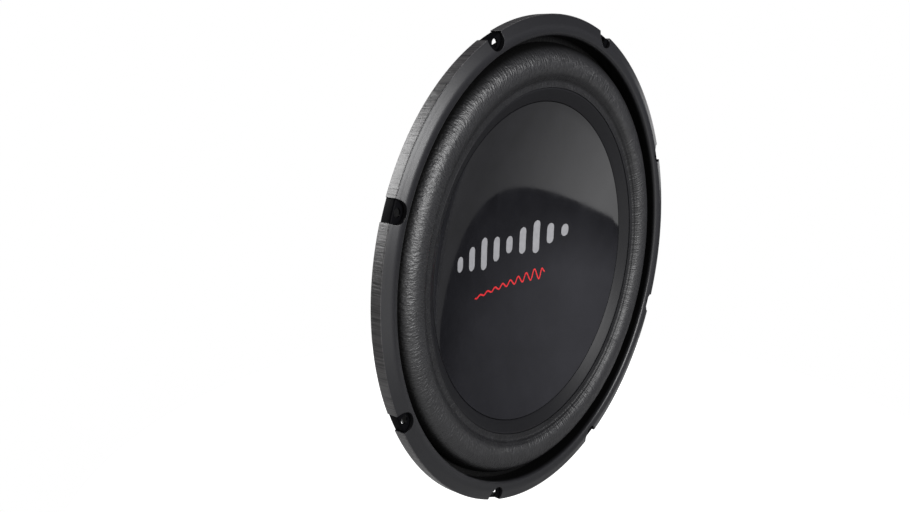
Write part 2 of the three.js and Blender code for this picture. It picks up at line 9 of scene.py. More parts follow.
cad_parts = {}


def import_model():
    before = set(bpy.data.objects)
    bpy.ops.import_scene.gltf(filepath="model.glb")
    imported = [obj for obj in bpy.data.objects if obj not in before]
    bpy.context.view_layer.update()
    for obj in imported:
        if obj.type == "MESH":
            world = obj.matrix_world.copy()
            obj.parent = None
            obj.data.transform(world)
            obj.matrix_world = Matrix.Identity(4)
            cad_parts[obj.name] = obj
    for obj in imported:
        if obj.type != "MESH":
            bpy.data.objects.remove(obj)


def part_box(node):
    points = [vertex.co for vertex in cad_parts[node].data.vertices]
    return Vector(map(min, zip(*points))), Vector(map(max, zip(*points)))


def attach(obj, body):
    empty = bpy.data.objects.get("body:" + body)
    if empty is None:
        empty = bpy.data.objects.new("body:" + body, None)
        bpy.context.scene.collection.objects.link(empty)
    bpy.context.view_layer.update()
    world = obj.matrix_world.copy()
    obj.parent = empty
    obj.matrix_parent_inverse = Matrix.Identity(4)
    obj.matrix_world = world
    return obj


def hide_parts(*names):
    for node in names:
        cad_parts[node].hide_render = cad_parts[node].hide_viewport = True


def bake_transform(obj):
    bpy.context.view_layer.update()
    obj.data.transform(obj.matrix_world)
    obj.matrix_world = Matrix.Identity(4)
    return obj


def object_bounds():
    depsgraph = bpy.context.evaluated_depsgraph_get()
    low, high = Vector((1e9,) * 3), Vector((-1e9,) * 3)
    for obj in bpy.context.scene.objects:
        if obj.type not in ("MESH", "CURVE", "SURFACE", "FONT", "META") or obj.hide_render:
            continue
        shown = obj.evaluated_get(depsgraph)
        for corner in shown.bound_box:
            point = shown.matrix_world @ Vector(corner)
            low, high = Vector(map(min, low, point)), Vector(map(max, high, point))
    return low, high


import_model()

CAD_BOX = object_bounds()
MM = 0.001
GAP = 0.3  # clearance that touching pieces keep, in millimetres


# ---- the frame's own sizes, in millimetres ----
def extent(node):
    """The radius, front and rear of a node."""
    low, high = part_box(node)
    return high.x / MM, low.y / MM, high.y / MM


RING, CROWN, _ = extent("front_gasket")
RIM, FLANGE, SEAT_REAR = extent("basket")
ROLL_OUT, ROLL_CREST, _ = extent("surround")
CONE_OUT, CONE_FRONT, NECK_REAR = extent("cone_body")
DISH, DISH_EDGE, DISH_REAR = extent("front_dish")
FORMER, FORMER_FRONT, FORMER_REAR = extent("voice_coil_former")
SPIDER_OUT, _, _ = extent("spider")
PLATE, PLATE_FRONT, PLATE_REAR = extent("top_plate")
MAGNET, _, _ = extent("magnet_front")
YOKE, POLE_FRONT, YOKE_REAR = extent("t_yoke")
BOOT, BOOT_FRONT, BOOT_REAR = extent("magnet_boot")
SCREEN, SCREEN_FRONT, SCREEN_REAR = extent("vent_screen")

# ---- sizes that the frame's boxes don't give, in millimetres ----
SIDES = 288  # facets round a large ring
STEEL = 1.2  # thickness of the basket's sheet
PARTING = CROWN + 2.1  # edge between the trim ring's side and its face
LIP = RING - 12.7  # inner edge of the trim ring
CHANNEL = RING - 9.1  # inner edge of the raised screw annulus
CUTOUT = RING - 10.3  # the part of the basket that passes through the board
LEDGE = 4.5  # ledge that the surround is glued to
SCREWS = 8
SCREW_CIRCLE = RING - 4.8
SCREW_HOLE = 2.6
FIRST_SCREW = 22.5
NOTCH = 6.7  # half width of a trim ring notch
ARMS = 6
ARM_HALF_WIDTH = 15.0
FIRST_ARM = 30.0
CUP = 84.0  # inside of the cylindrical wall round the spider
CUP_FRONT = 27.0
LANDING = 42.0  # front of the spider landing
LANDING_IN = 71.0  # its inner edge
WALL_FRONT = (130.0, 8.0)  # the sloping wall with the windows runs from here
WALL_REAR = (86.0, 25.0)  # to here
WINDOW_OUT = 122.0
WINDOW_IN = 92.0
WINDOW_CORNER = 6.0
SEAT = 60.0  # the basket's seat on the top plate
SEAT_BORE = 46.0
ROLL = 131.5  # middle of the surround's roll
ROLL_HALF = 12.3
RUBBER = 1.2
LAND = 116.0  # radius where the surround ends on the cone
DISH_SHEET = 1.3
CONE_SHEET = 1.4
COIL_PITCH = 0.62
RIVETS = 6
RIVET_CIRCLE = 53.0
PLATE_BORE = 29.0
MAGNET_BORE = 34.0
POLE = 24.3
YOKE_THICKNESS = 7.5
VENT = 10.0
BOOT_BORE = 32.0
TERMINAL_Y = 37.0  # middle of a terminal block
BLOCK_HALF = (8.5, 17.0)  # half its size along Y and Z
BLOCK_OUT = 103.4  # its outer face
EAR_HALF = (5.0, 25.0)
EAR_OUT = 88.0
POCKET_FLOOR = 88.5  # bottom of the pocket a button slides in
POCKET_FRONT = TERMINAL_Y - 6.3
POCKET_REAR = TERMINAL_Y + 5.7
POCKET_HALF = 4.9
BUTTON_IN = 95.5
BUTTON_OUT = 106.4
BUTTON_FRONT = POCKET_FRONT + 1.7
BUTTON_REAR = POCKET_REAR - GAP
BUTTON_MIDDLE = (BUTTON_FRONT + BUTTON_REAR) / 2
BUTTON_HOLE = 101.5
BUTTON_TRAVEL = 3.0
WIRE_HOLE = 1.6
THUMB = 9.0  # radius of the hollow in a button's end
CONTACT_Y = TERMINAL_Y - 5.5  # middle of a contact strip
CONTACT_HALF = (0.4, 2.2)
LUG_END = 76.5
TERMINAL_PITCH = 8.0
EAR_PITCH = 20.5
EAR_HOLE = 1.9  # radius of the holes for the ear rivets
RIVET_HOLE = 2.6  # and of those for the seat rivets
KNEE = 134.0  # where the ledge turns into the sloping wall

SWAP_XY = Matrix(((0, 1, 0, 0), (1, 0, 0, 0), (0, 0, 1, 0), (0, 0, 0, 1)))
SWAP_YZ = Matrix(((1, 0, 0, 0), (0, 0, 1, 0), (0, 1, 0, 0), (0, 0, 0, 1)))


# ---- outlines ----
def rounded(outline, steps=5):
    """A closed outline of (radius, y, corner size) with each corner turned into an arc."""
    points = []
    for i, (r, y, size) in enumerate(outline):
        corner = Vector((r, y))
        back = Vector(outline[i - 1][:2]) - corner
        ahead = Vector(outline[(i + 1) % len(outline)][:2]) - corner
        if size <= 0:
            points.append((r, y))
            continue
        half = back.angle(ahead) / 2
        reach = min(size / math.tan(half), 0.48 * back.length, 0.48 * ahead.length)
        size = reach * math.tan(half)
        back.normalize()
        ahead.normalize()
        centre = corner + (back + ahead).normalized() * (size / math.sin(half))
        start = corner + back * reach - centre
        end = corner + ahead * reach - centre
        turn = math.atan2(start.x * end.y - start.y * end.x, start.dot(end))
        first = math.atan2(start.y, start.x)
        for k in range(steps + 1):
            a = first + turn * k / steps
            points.append((centre.x + size * math.cos(a), centre.y + size * math.sin(a)))
    return points


def arc(r, y, half_r, half_y, start, end, steps):
    """Points on an ellipse round (r, y), both ends included. Angles are in degrees."""
    points = []
    for k in range(steps + 1):
        a = math.radians(start + (end - start) * k / steps)
        points.append((r + half_r * math.cos(a), y + half_y * math.sin(a)))
    return points


def dense(outline, step):
    """The same closed outline with no side longer than step."""
    points = []
    for i, (r, y) in enumerate(outline):
        after = outline[(i + 1) % len(outline)]
        count = max(1, math.ceil(math.dist((r, y), after) / step))
        for k in range(count):
            t = k / count
            points.append((r + (after[0] - r) * t, y + (after[1] - y) * t))
    return points


def offset(line, distance):
    """A line of (radius, y) moved square to itself, towards the rear."""
    moved = []
    for i, (r, y) in enumerate(line):
        tangent = Vector(line[min(len(line) - 1, i + 1)]) - Vector(line[max(0, i - 1)])
        normal = Vector((tangent.y, -tangent.x)).normalized()
        if normal.y < 0:
            normal = -normal
        moved.append((r + normal.x * distance, y + normal.y * distance))
    return moved


def smooth_step(low, high, value):
    t = min(1.0, max(0.0, (value - low) / (high - low)))
    return t * t * (3 - 2 * t)


def at(azimuth, r, y=0.0):
    """A point at an azimuth in degrees, in metres."""
    a = math.radians(azimuth)
    return Vector((r * math.sin(a), y, r * math.cos(a))) * MM


def about(middle, half):
    return middle - half, middle + half


# ---- meshes ----
def placed(name, data):
    made = bpy.data.objects.new(name, data)
    bpy.context.scene.collection.objects.link(made)
    return made


def piece_from(bm, name):
    bmesh.ops.recalc_face_normals(bm, faces=bm.faces)
    mesh = bpy.data.meshes.new(name)
    bm.to_mesh(mesh)
    bm.free()
    return placed(name, mesh)


def turned(name, outline, sides=SIDES, shape=None):
    """A body turned round the Y axis from a closed outline. shape moves a point (azimuth, r, y)."""
    bm = bmesh.new()
    rings = []
    for k in range(sides):
        azimuth = 360.0 * k / sides
        rows = [shape(azimuth, r, y) if shape else (r, y) for r, y in outline]
        rings.append([bm.verts.new(at(azimuth, r, y)) for r, y in rows])
    for k in range(sides):
        here, after = rings[k], rings[(k + 1) % sides]
        for i in range(len(outline)):
            j = (i + 1) % len(outline)
            if outline[i][0] > 0 or outline[j][0] > 0:
                bm.faces.new((here[i], here[j], after[j], after[i]))
    if any(r == 0 for r, y in outline):
        bmesh.ops.remove_doubles(bm, verts=bm.verts, dist=1e-7)
    return piece_from(bm, name)


def block(name, *ranges):
    """A box from its ranges along X, Y and Z in millimetres, as a blank that is carved later."""
    bm = bmesh.new()
    bmesh.ops.create_cube(bm, size=1.0)
    for v in bm.verts:
        v.co = Vector([ends[v.co[i] > 0] * MM for i, ends in enumerate(ranges)])
    return piece_from(bm, name)


def prism(name, outline, low, high, turn=None):
    """A body along Y with an outline of (x, z) points in millimetres, then turned by a matrix."""
    bm = bmesh.new()
    ends = [[bm.verts.new((x * MM, y * MM, z * MM)) for x, z in outline] for y in (low, high)]
    bm.faces.new(ends[0])
    bm.faces.new(ends[1])
    for i in range(len(outline)):
        j = (i + 1) % len(outline)
        bm.faces.new((ends[0][i], ends[0][j], ends[1][j], ends[1][i]))
    if turn:
        bm.transform(turn)
    return piece_from(bm, name)


def circle(x, z, r, sides=32, start=0.0, end=360.0):
    """Points round (x, z). A whole circle leaves out its repeated end."""
    whole = end - start == 360
    count = sides if whole else sides + 1
    step = math.radians((end - start) / sides)
    first = math.radians(start)
    return [(x + r * math.cos(first + step * k), z + r * math.sin(first + step * k)) for k in range(count)]


def bake_modifiers(piece):
    depsgraph = bpy.context.evaluated_depsgraph_get()
    mesh = bpy.data.meshes.new_from_object(piece.evaluated_get(depsgraph))
    old = piece.data
    piece.modifiers.clear()
    piece.data = mesh
    bpy.data.meshes.remove(old)
    mesh.name = piece.name
    return piece


def joined(name, parts):
    bm = bmesh.new()
    for part in parts:
        bm.from_mesh(part.data)
        drop(part)
    return piece_from(bm, name)


def drop(piece):
    mesh = piece.data
    bpy.data.objects.remove(piece)
    bpy.data.meshes.remove(mesh)


def carved(piece, tools, operation="DIFFERENCE"):
    """Cuts the tools out of a piece, or joins them to it, and deletes them."""
    tool = joined("tool", tools)
    boolean = piece.modifiers.new("carve", "BOOLEAN")
    boolean.operation = operation
    boolean.solver = "EXACT"
    boolean.object = tool
    bake_modifiers(piece)
    drop(tool)
    return piece


def softened(piece, width, segments=3, angle=30):
    """Rounds every edge that turns more than an angle."""
    bevel = piece.modifiers.new("edges", "BEVEL")
    bevel.limit_method = "ANGLE"
    bevel.angle_limit = math.radians(angle)
    bevel.width = width * MM
    bevel.segments = segments
    return bake_modifiers(piece)


def turn_about_y(degrees):
    """A turn that carries azimuth 0 to an azimuth."""
    return Matrix.Rotation(math.radians(degrees), 4, "Y")


def finished(piece, finish, *nodes, body="chassis", sharp=38):
    """Gives a piece its material, slot and body, and hides the CAD nodes it stands for."""
    piece.data.materials.clear()
    piece.data.materials.append(finish.material)
    piece.data.shade_smooth()
    piece.data.set_sharp_from_angle(angle=math.radians(sharp))
    if nodes:
        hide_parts(*nodes)
    if body:
        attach(piece, body)


def blended(piece, weight):
    """Bakes the piece's transform and works out the weight each point, in millimetres, has. The weights go
    nowhere, so the piece doesn't bend between bodies.
    """
    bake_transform(piece)
    weights = [weight(v.co / MM) for v in piece.data.vertices]


# ---- materials ----
class Nodes:
    """The shader nodes of one material or world."""

    def __init__(self, owner):
        owner.use_nodes = True
        self.tree = owner.node_tree

    def node(self, kind, inputs=None, **settings):
        made = self.tree.nodes.new("ShaderNode" + kind)
        for key, value in settings.items():
            setattr(made, key, value)
        for key, value in (inputs or {}).items():
            self.feed(made.inputs[key], value)
        return made

    def feed(self, socket, value):
        if isinstance(value, bpy.types.NodeSocket):
            self.tree.links.new(value, socket)
        elif socket.type == "RGBA" and len(value) == 3:
            socket.default_value = (*value, 1)
        else:
            socket.default_value = value

    def vector(self, operation, a, b=(0, 0, 0), scale=1.0):
        inputs = {0: a, 1: b, 3: scale}
        return self.node("VectorMath", inputs, operation=operation).outputs["Vector"]

    def math(self, operation, a, b=0.0, c=0.0):
        return self.node("Math", {0: a, 1: b, 2: c}, operation=operation).outputs[0]

    def ramp(self, value, low, high, to_low=0.0, to_high=1.0):
        inputs = {"Value": value, "From Min": low, "From Max": high, "To Min": to_low, "To Max": to_high}
        return self.node("MapRange", inputs, clamp=True).outputs["Result"]

    def mix(self, fraction, a, b):
        return self.node("Mix", {0: fraction, 6: a, 7: b}, data_type="RGBA").outputs[2]


class Finish(Nodes):
    """A material round one Principled shader, with textures measured in millimetres."""

    def __init__(self, name, **sockets):
        self.slot = name
        self.material = bpy.data.materials.new(name)
        super().__init__(self.material)
        self.shader = self.tree.nodes["Principled BSDF"]
        for socket, value in sockets.items():
            self.feed(self.shader.inputs[socket.replace("_", " ")], value)
        coords = self.node("TexCoord").outputs["Object"]
        self.place = self.vector("SCALE", coords, scale=1 / MM)
        self.parts = self.node("SeparateXYZ", {0: self.place}).outputs
        flat = self.vector("MULTIPLY", self.place, (1, 0, 1))
        self.radius = self.node("VectorMath", {0: flat}, operation="LENGTH").outputs["Value"]
        self.outward = self.vector("NORMALIZE", flat)
        self.normal = None

    def ring(self, radius, across, along):
        """Coordinates round the axis: one unit is across round the circle and along on the outline."""
        around = self.vector("SCALE", self.outward, scale=radius / across)
        run = self.math("ADD", self.radius, self.parts[1])
        lift = self.node("CombineXYZ", {1: self.math("DIVIDE", run, along)}).outputs[0]
        return self.vector("ADD", around, lift)

    def noise(self, size, detail=2.0, roughness=0.5, vector=None):
        inputs = {"Vector": vector or self.place, "Scale": 1 / size, "Detail": detail, "Roughness": roughness}
        return self.node("TexNoise", inputs).outputs[0]

    def specks(self, spacing, size, share):
        """Small round dots, in a share of the cells of a random grid."""
        cells = self.node("TexVoronoi", {"Vector": self.place, "Scale": 1 / spacing})
        near = self.ramp(cells.outputs["Distance"], size / spacing, 0.4 * size / spacing)
        pick = self.node("SeparateColor", {0: cells.outputs["Color"]}).outputs[0]
        return self.math("MULTIPLY", near, self.math("LESS_THAN", pick, share))

    def bump(self, height, depth, strength=1.0):
        """Adds relief whose height of 1 is a depth in millimetres."""
        inputs = {"Height": height, "Distance": depth * MM, "Strength": strength}
        if self.normal:
            inputs["Normal"] = self.normal
        self.normal = self.node("Bump", inputs).outputs[0]
        self.feed(self.shader.inputs["Normal"], self.normal)

    def soft_edges(self, radius):
        """Rounds the shading of edges that a cut left sharp."""
        self.normal = self.node("Bevel", {"Radius": radius * MM}, samples=6).outputs[0]
        self.feed(self.shader.inputs["Normal"], self.normal)

    def channel(self, inside, outside, depth, bottom):
        """1 at the bottom of the channel beside the surround, the mask where shade is painted in."""
        down = self.ramp(self.parts[1], depth, bottom)
        return self.math("MULTIPLY", down, self.ramp(self.radius, inside, outside))

    def color(self, value):
        self.feed(self.shader.inputs["Base Color"], value)

    def specular(self, value):
        self.feed(self.shader.inputs["Specular IOR Level"], value)

    def roughness(self, *ramp):
        self.feed(self.shader.inputs["Roughness"], self.ramp(*ramp))

    def worn(self, color, edge_color, low=0.52, high=0.62):
        """Colour that turns lighter on convex edges."""
        pointiness = self.node("NewGeometry").outputs["Pointiness"]
        return self.mix(self.ramp(pointiness, low, high), color, edge_color)


def trim_rubber():
    """Satin moulded rubber with fine lines down its outer side and a faint grain, and painted shade on the
    inner wall down into the channel.
    """
    f = Finish("trim_rubber", Roughness=0.42)
    f.soft_edges(0.35)
    lines = f.noise(1.0, 3.0, 0.7, f.ring(RING, 1.1, 40.0))
    broad = f.noise(1.0, 2.0, 0.5, f.ring(RING, 9.0, 30.0))
    wall = f.ramp(f.radius, RING - 0.5, RING - 0.15)
    grain = f.noise(0.5, 3.0, 0.6)
    shade = f.mix(f.ramp(grain, 0.3, 0.7), (0.008, 0.008, 0.009), (0.012, 0.012, 0.0135))
    streak = f.mix(f.ramp(lines, 0.38, 0.62), (0.014, 0.013, 0.014), (0.075, 0.073, 0.074))
    streak = f.mix(f.ramp(broad, 0.3, 0.7, 0.0, 0.35), streak, (0.070, 0.068, 0.069))
    # painted shade: the inner wall going down into the channel is coloured near black and reflects little
    painted_channel_shade = f.channel(LIP + 2, LIP + 1, CROWN + 1.2, CROWN + 4)
    f.color(f.mix(painted_channel_shade, f.mix(wall, shade, streak), [0.003] * 3))
    f.specular(f.math("MULTIPLY", f.ramp(wall, 0.0, 1.0, 0.30, 0.55), f.ramp(painted_channel_shade, 0.0, 1.0, 1.0, 0.15)))
    f.roughness(grain, 0.2, 0.8, 0.28, 0.36)
    f.bump(f.math("MULTIPLY", lines, wall), 0.3)
    f.bump(grain, 0.012)
    return f


def surround_rubber():
    """Rubber-coated foam: short wrinkles across the roll over a leathery grain, and painted shade on the
    roll's outer side down into the channel.
    """
    f = Finish("surround_rubber", Roughness=0.5)
    wrinkles = f.noise(1.0, 2.5, 0.55, f.ring(ROLL, 1.15, 4.2))
    grain = f.noise(0.55, 3.0, 0.6)
    cloud = f.noise(14.0, 2.0, 0.5)
    dust = f.specks(13.0, 0.35, 0.10)
    shade = f.mix(f.ramp(cloud, 0.3, 0.7), (0.005, 0.005, 0.0055), (0.008, 0.008, 0.0088))
    shade = f.mix(f.ramp(wrinkles, 0.35, 0.75, 0.0, 0.5), shade, (0.014, 0.014, 0.015))
    # painted shade: the roll's outer side going down into the channel is coloured near black and reflects
    # little
    painted_channel_shade = f.channel(ROLL + 5, ROLL + 9, ROLL_CREST + 1.5, ROLL_CREST + 5)
    f.color(f.mix(painted_channel_shade, f.mix(dust, shade, [0.25] * 3), [0.003] * 3))
    shine = f.ramp(f.radius, ROLL - 11, ROLL - 5, 0.22, 0.5)
    f.specular(f.math("MULTIPLY", shine, f.ramp(painted_channel_shade, 0.0, 1.0, 1.0, 0.16)))
    f.roughness(wrinkles, 0.25, 0.75, 0.46, 0.34)
    f.bump(wrinkles, 0.55)
    f.bump(grain, 0.03)
    return f


def gloss(name, color, low, high, peel=0.004):
    """Polished black plastic or paint with a very fine orange peel, haze and a little dust."""
    f = Finish(name, Roughness=low)
    haze = f.noise(22.0, 4.0, 0.6)
    dust = f.specks(15.0, 0.28, 0.06)
    f.color(f.mix(dust, f.mix(f.ramp(haze, 0.3, 0.7), color, [1.5 * c for c in color]), [0.2] * 3))
    rough = f.math("MAXIMUM", f.ramp(haze, 0.3, 0.75, low, high), f.math("MULTIPLY", dust, 0.5))
    f.feed(f.shader.inputs["Roughness"], rough)
    f.bump(f.noise(3.0, 1.0), peel)
    return f


def dish_gloss():
    return gloss("dish_gloss", (0.0055, 0.0055, 0.0065), 0.03, 0.07, 0.002)


def cone_gloss():
    """Gloss on the front, pressed pulp fibres on the rear."""
    f = gloss("cone_gloss", (0.008, 0.008, 0.009), 0.07, 0.12)
    facing = f.node("SeparateXYZ", {0: f.node("TexCoord").outputs["Normal"]}).outputs[1]
    rear = f.ramp(facing, -0.05, 0.15)
    fibres = f.noise(1.0, 4.0, 0.7, f.vector("MULTIPLY", f.place, (1.4, 0.8, 1.1)))
    f.roughness(rear, 0.0, 1.0, 0.40, 0.75)
    f.specular(0.12)
    f.color(f.mix(rear, (0.008, 0.008, 0.009), f.mix(fibres, [0.012] * 3, (0.05, 0.05, 0.048))))
    f.bump(f.math("MULTIPLY", fibres, rear), 0.08)
    return f


def basket_paint():
    """Baked black paint on pressed steel, with painted shade on the rim and annulus round the screws: darker
    paint there that reflects almost nothing.
    """
    f = Finish("basket_paint", Roughness=0.45)
    f.soft_edges(0.3)
    peel = f.noise(1.6, 2.0)
    haze = f.noise(18.0, 3.0)
    behind = f.ramp(f.parts[1], 0.2, 1.5)
    shade = f.worn(f.mix(haze, (0.007, 0.007, 0.008), (0.014, 0.014, 0.015)), (0.03, 0.03, 0.032))
    # painted shade: at the front, on the rim and annulus seen in the trim ring's notches, the paint is darker
    # and reflects almost nothing
    f.color(f.mix(behind, (0.0025, 0.0025, 0.003), shade))
    f.specular(f.ramp(behind, 0.0, 1.0, 0.015, 0.4))
    f.roughness(haze, 0.3, 0.7, 0.26, 0.42)
    f.bump(peel, 0.012)
    return f


def moulded(name, color, roughness, grain=0.02, size=0.45):
    """Moulded plastic or rubber with a spark-eroded grain."""
    f = Finish(name, Roughness=roughness)
    fine = f.noise(size, 3.0, 0.6)
    broad = f.noise(9.0, 2.0)
    dark, light, edge = ([k * c for c in color] for k in (0.8, 1.25, 2.2))
    f.color(f.worn(f.mix(broad, dark, light), edge))
    f.roughness(fine, 0.25, 0.75, roughness - 0.06, roughness + 0.08)
    f.bump(fine, grain)
    return f


def plated(name, color, roughness, rings=True):
    """Plated or bare metal with turning marks round the axis and a faint stain."""
    f = Finish(name, Roughness=roughness, Metallic=1.0)
    stain = f.noise(12.0, 4.0, 0.6)
    run = f.ring(60.0, 25.0, 0.35) if rings else f.vector("MULTIPLY", f.place, (3.0, 0.3, 3.0))
    marks = f.noise(1.0, 2.0, 0.6, run)
    f.color(f.mix(f.ramp(stain, 0.3, 0.7), [0.72 * c for c in color], color))
    f.roughness(marks, 0.25, 0.75, roughness - 0.08, roughness + 0.1)
    f.bump(marks, 0.02)
    return f


def ferrite():
    f = Finish("ferrite", Roughness=0.7)
    pores = f.noise(0.6, 4.0, 0.7)
    f.color(f.worn(f.mix(pores, (0.022, 0.022, 0.024), (0.06, 0.06, 0.063)), (0.13, 0.13, 0.135)))
    f.roughness(pores, 0.2, 0.8, 0.6, 0.85)
    f.bump(pores, 0.06)
    return f


def spider_cloth():
    """Woven cotton stiffened with resin."""
    f = Finish("spider_cloth", Roughness=0.85, Sheen_Weight=0.25, Sheen_Roughness=0.5)
    warp = f.math("SINE", f.math("MULTIPLY", f.parts[0], 2 * math.pi / 0.9))
    weft = f.math("SINE", f.math("MULTIPLY", f.parts[2], 2 * math.pi / 0.9))
    weave = f.math("MULTIPLY", warp, weft)
    cloud = f.noise(8.0, 3.0)
    shade = f.mix(f.ramp(cloud, 0.3, 0.7), (0.13, 0.085, 0.030), (0.21, 0.145, 0.058))
    f.color(f.mix(f.ramp(weave, -1.0, 1.0, 0.0, 0.45), shade, (0.07, 0.045, 0.016)))
    f.bump(weave, 0.12)
    return f


def braid():
    """Tinned copper braid."""
    f = Finish("lead_braid", Roughness=0.38, Metallic=1.0)
    slope = f.math("MULTIPLY", f.math("ADD", f.parts[0], f.math("MULTIPLY", f.parts[1], 1.4)), 5.5)
    other = f.math("MULTIPLY", f.math("SUBTRACT", f.parts[0], f.math("MULTIPLY", f.parts[2], 1.4)), 5.5)
    plait = f.math("MULTIPLY", f.math("SINE", slope), f.math("SINE", other))
    f.color(f.mix(f.ramp(plait, -0.7, 0.7), (0.18, 0.085, 0.045), (0.62, 0.33, 0.19)))
    f.roughness(plait, -1.0, 1.0, 0.5, 0.3)
    f.bump(plait, 0.15)
    return f


def winding():
    """Enamelled copper wire."""
    f = Finish("coil_wire", Roughness=0.3, Metallic=0.9, Coat_Weight=0.6, Coat_Roughness=0.15)
    stain = f.noise(5.0, 3.0)
    f.color(f.mix(stain, (0.28, 0.075, 0.025), (0.50, 0.16, 0.06)))
    f.roughness(stain, 0.3, 0.7, 0.22, 0.38)
    return f


def former_film():
    f = Finish("former_film", Roughness=0.3, Coat_Weight=0.3)
    stain = f.noise(6.0, 3.0)
    f.color(f.mix(stain, (0.30, 0.14, 0.02), (0.48, 0.26, 0.05)))
    f.bump(f.noise(0.8, 2.0), 0.02)
    return f


def ink(name, color, roughness):
    """Screen-printed ink: slightly uneven, with pinholes."""
    f = Finish(name, Roughness=roughness, Coat_Weight=0.25, Coat_Roughness=0.12)
    cloud = f.noise(2.5, 3.0)
    f.color(f.mix(f.ramp(cloud, 0.3, 0.7), [0.86 * c for c in color], color))
    f.roughness(cloud, 0.3, 0.7, roughness - 0.06, roughness + 0.08)
    f.bump(f.noise(0.4, 2.0), 0.006)
    return f


# ---- trim ring and basket ----
def notch_tools():
    """U shaped cutters for the eight screw notches."""
    centre = CHANNEL - 0.2 + NOTCH
    outline = [(-NOTCH, RING + 5), *circle(0, centre, NOTCH, 28, 180, 360), (NOTCH, RING + 5)]
    turns = [turn_about_y(FIRST_SCREW + 360 * k / SCREWS) for k in range(SCREWS)]
    return [prism("notch", outline, -15, 3, turn) for turn in turns]


def trim_ring(material):
    """Outer skirt with a parting groove, crowned face, lip, and the foot that holds the surround."""
    inner_wall = CUTOUT - STEEL - GAP
    foot, step = LEDGE - 2.2, -STEEL - GAP
    groove, half = 0.35, 0.12
    outline = rounded([
        (RING, -0.5, 0.3), (RING, PARTING + half, 0.03), (RING - groove, PARTING, 0.03),
        (RING - 0.02, PARTING - half, 0.03), (RING - 3.0, CROWN + 1.15, 12.0),
        (RING - 7.5, CROWN - 0.28, 7.0), (LIP, CROWN + 1.0, 2.4), (LIP, foot, 0.5), (inner_wall, foot, 0.2),
        (inner_wall, step, 0.1), (CHANNEL - GAP, step, 0.1), (CHANNEL - GAP, FLANGE - GAP, 0.2),
        (RIM + GAP, FLANGE - GAP, 0.2), (RIM + GAP, -0.5, 0.1),
    ], 6)
    ring = turned("trim_ring", outline, 384)
    carved(ring, notch_tools())
    finished(ring, material, "front_gasket", sharp=30)


def basket_outline():
    seat = SEAT_REAR - STEEL
    step = LANDING_IN - 4
    return [
        (RIM, 0, 0.4), (RIM, FLANGE, 1.1), (CHANNEL, FLANGE, 1.0), (CHANNEL, -STEEL, 0.6),
        (CUTOUT - STEEL, -STEEL, 0.6), (CUTOUT - STEEL, LEDGE, 1.0), (KNEE, LEDGE, 3.0),
        (*WALL_FRONT, 4.0), (*WALL_REAR, 2.5), (CUP, CUP_FRONT, 2.0), (CUP, LANDING, 0.8),
        (LANDING_IN, LANDING, 2.0), (step, LANDING + 4, 3.0), (SEAT, seat, 1.5), (SEAT_BORE, seat, 0.3),
        (SEAT_BORE, SEAT_REAR, 0.3), (SEAT + STEEL, SEAT_REAR, 2.5), (step + STEEL, LANDING + 4.6, 3.0),
        (LANDING_IN + 0.6, LANDING + STEEL, 1.5), (CUP + STEEL, LANDING + STEEL, 1.6),
        (CUP + STEEL, CUP_FRONT + 0.6, 2.5), (WALL_FRONT[0] + 0.8, WALL_FRONT[1] + STEEL, 4.0),
        (KNEE + 0.4, LEDGE + STEEL, 3.0), (CUTOUT, LEDGE + STEEL, 1.0), (CUTOUT, 0, 0.3),
        (CHANNEL + STEEL, 0, 0.6), (CHANNEL + STEEL, FLANGE + STEEL, 0.5),
        (RIM - 1, FLANGE + STEEL, 0.6), (RIM - 1, 0, 0.2),
    ]


def arm_rib(azimuth, r, y):
    """Presses a stiffening rib into each arm of the sloping wall, towards the rear."""
    if not (90 < r < 130 and 6 < y < CUP_FRONT):
        return r, y
    from_arm = (azimuth - FIRST_ARM + 180 / ARMS) % (360 / ARMS) - 180 / ARMS
    across = abs(r * math.sin(math.radians(from_arm)))
    lift = 2.4 * (1 - smooth_step(3.5, 8.5, across))
    lift *= smooth_step(91, 97, r) * (1 - smooth_step(121, 128, r))
    along = Vector(WALL_REAR) - Vector(WALL_FRONT)
    out = Vector((along.y, -along.x)).normalized() * lift
    return r + out.x, y + out.y


def window_outline():
    """One window between two arms of even width, as (x, z) points round azimuth 0."""

    def spread(r):
        return math.pi / ARMS - math.asin(ARM_HALF_WIDTH / r)

    def edge(r, first, last):
        """Corner, arc and corner. The arc keeps clear of the corners, which are rounded later."""
        clear = 2.2 * WINDOW_CORNER / r * (1 if last > first else -1)
        angles = [first, *(first + clear + (last - first - 2 * clear) * k / 12 for k in range(13)), last]
        sizes = [WINDOW_CORNER, *[0] * 13, WINDOW_CORNER]
        return [(r * math.sin(a), r * math.cos(a), size) for a, size in zip(angles, sizes)]

    outer, inner = spread(WINDOW_OUT), spread(WINDOW_IN)
    return rounded(edge(WINDOW_OUT, -outer, outer) + edge(WINDOW_IN, inner, -inner), 8)


def window_tools():
    outline = window_outline()
    low, high = WALL_FRONT[1] - 3, CUP_FRONT + 3
    first = FIRST_ARM + 180 / ARMS
    return [prism("window", outline, low, high, turn_about_y(first + 360 * k / ARMS)) for k in range(ARMS)]


def round_holes(count, first, circle_radius, r, low, high):
    hole = circle(0, circle_radius, r, 28)
    turns = [turn_about_y(first + 360 * k / count) for k in range(count)]
    return [prism("hole", hole, low, high, turn) for turn in turns]


def terminal_wall_tools():
    """Slots for the contacts and holes for the rivets in the cup wall, on both sides."""
    tools = []
    for turn in (turn_about_y(0), turn_about_y(180)):
        for hand in (-1, 1):
            slot = block("slot", (CUP - 4, EAR_OUT), about(CONTACT_Y, 1.4), about(hand * TERMINAL_PITCH, 3))
            for tool in (slot, ear_hole(hand)):
                tool.data.transform(turn)
                tools.append(tool)
    return tools


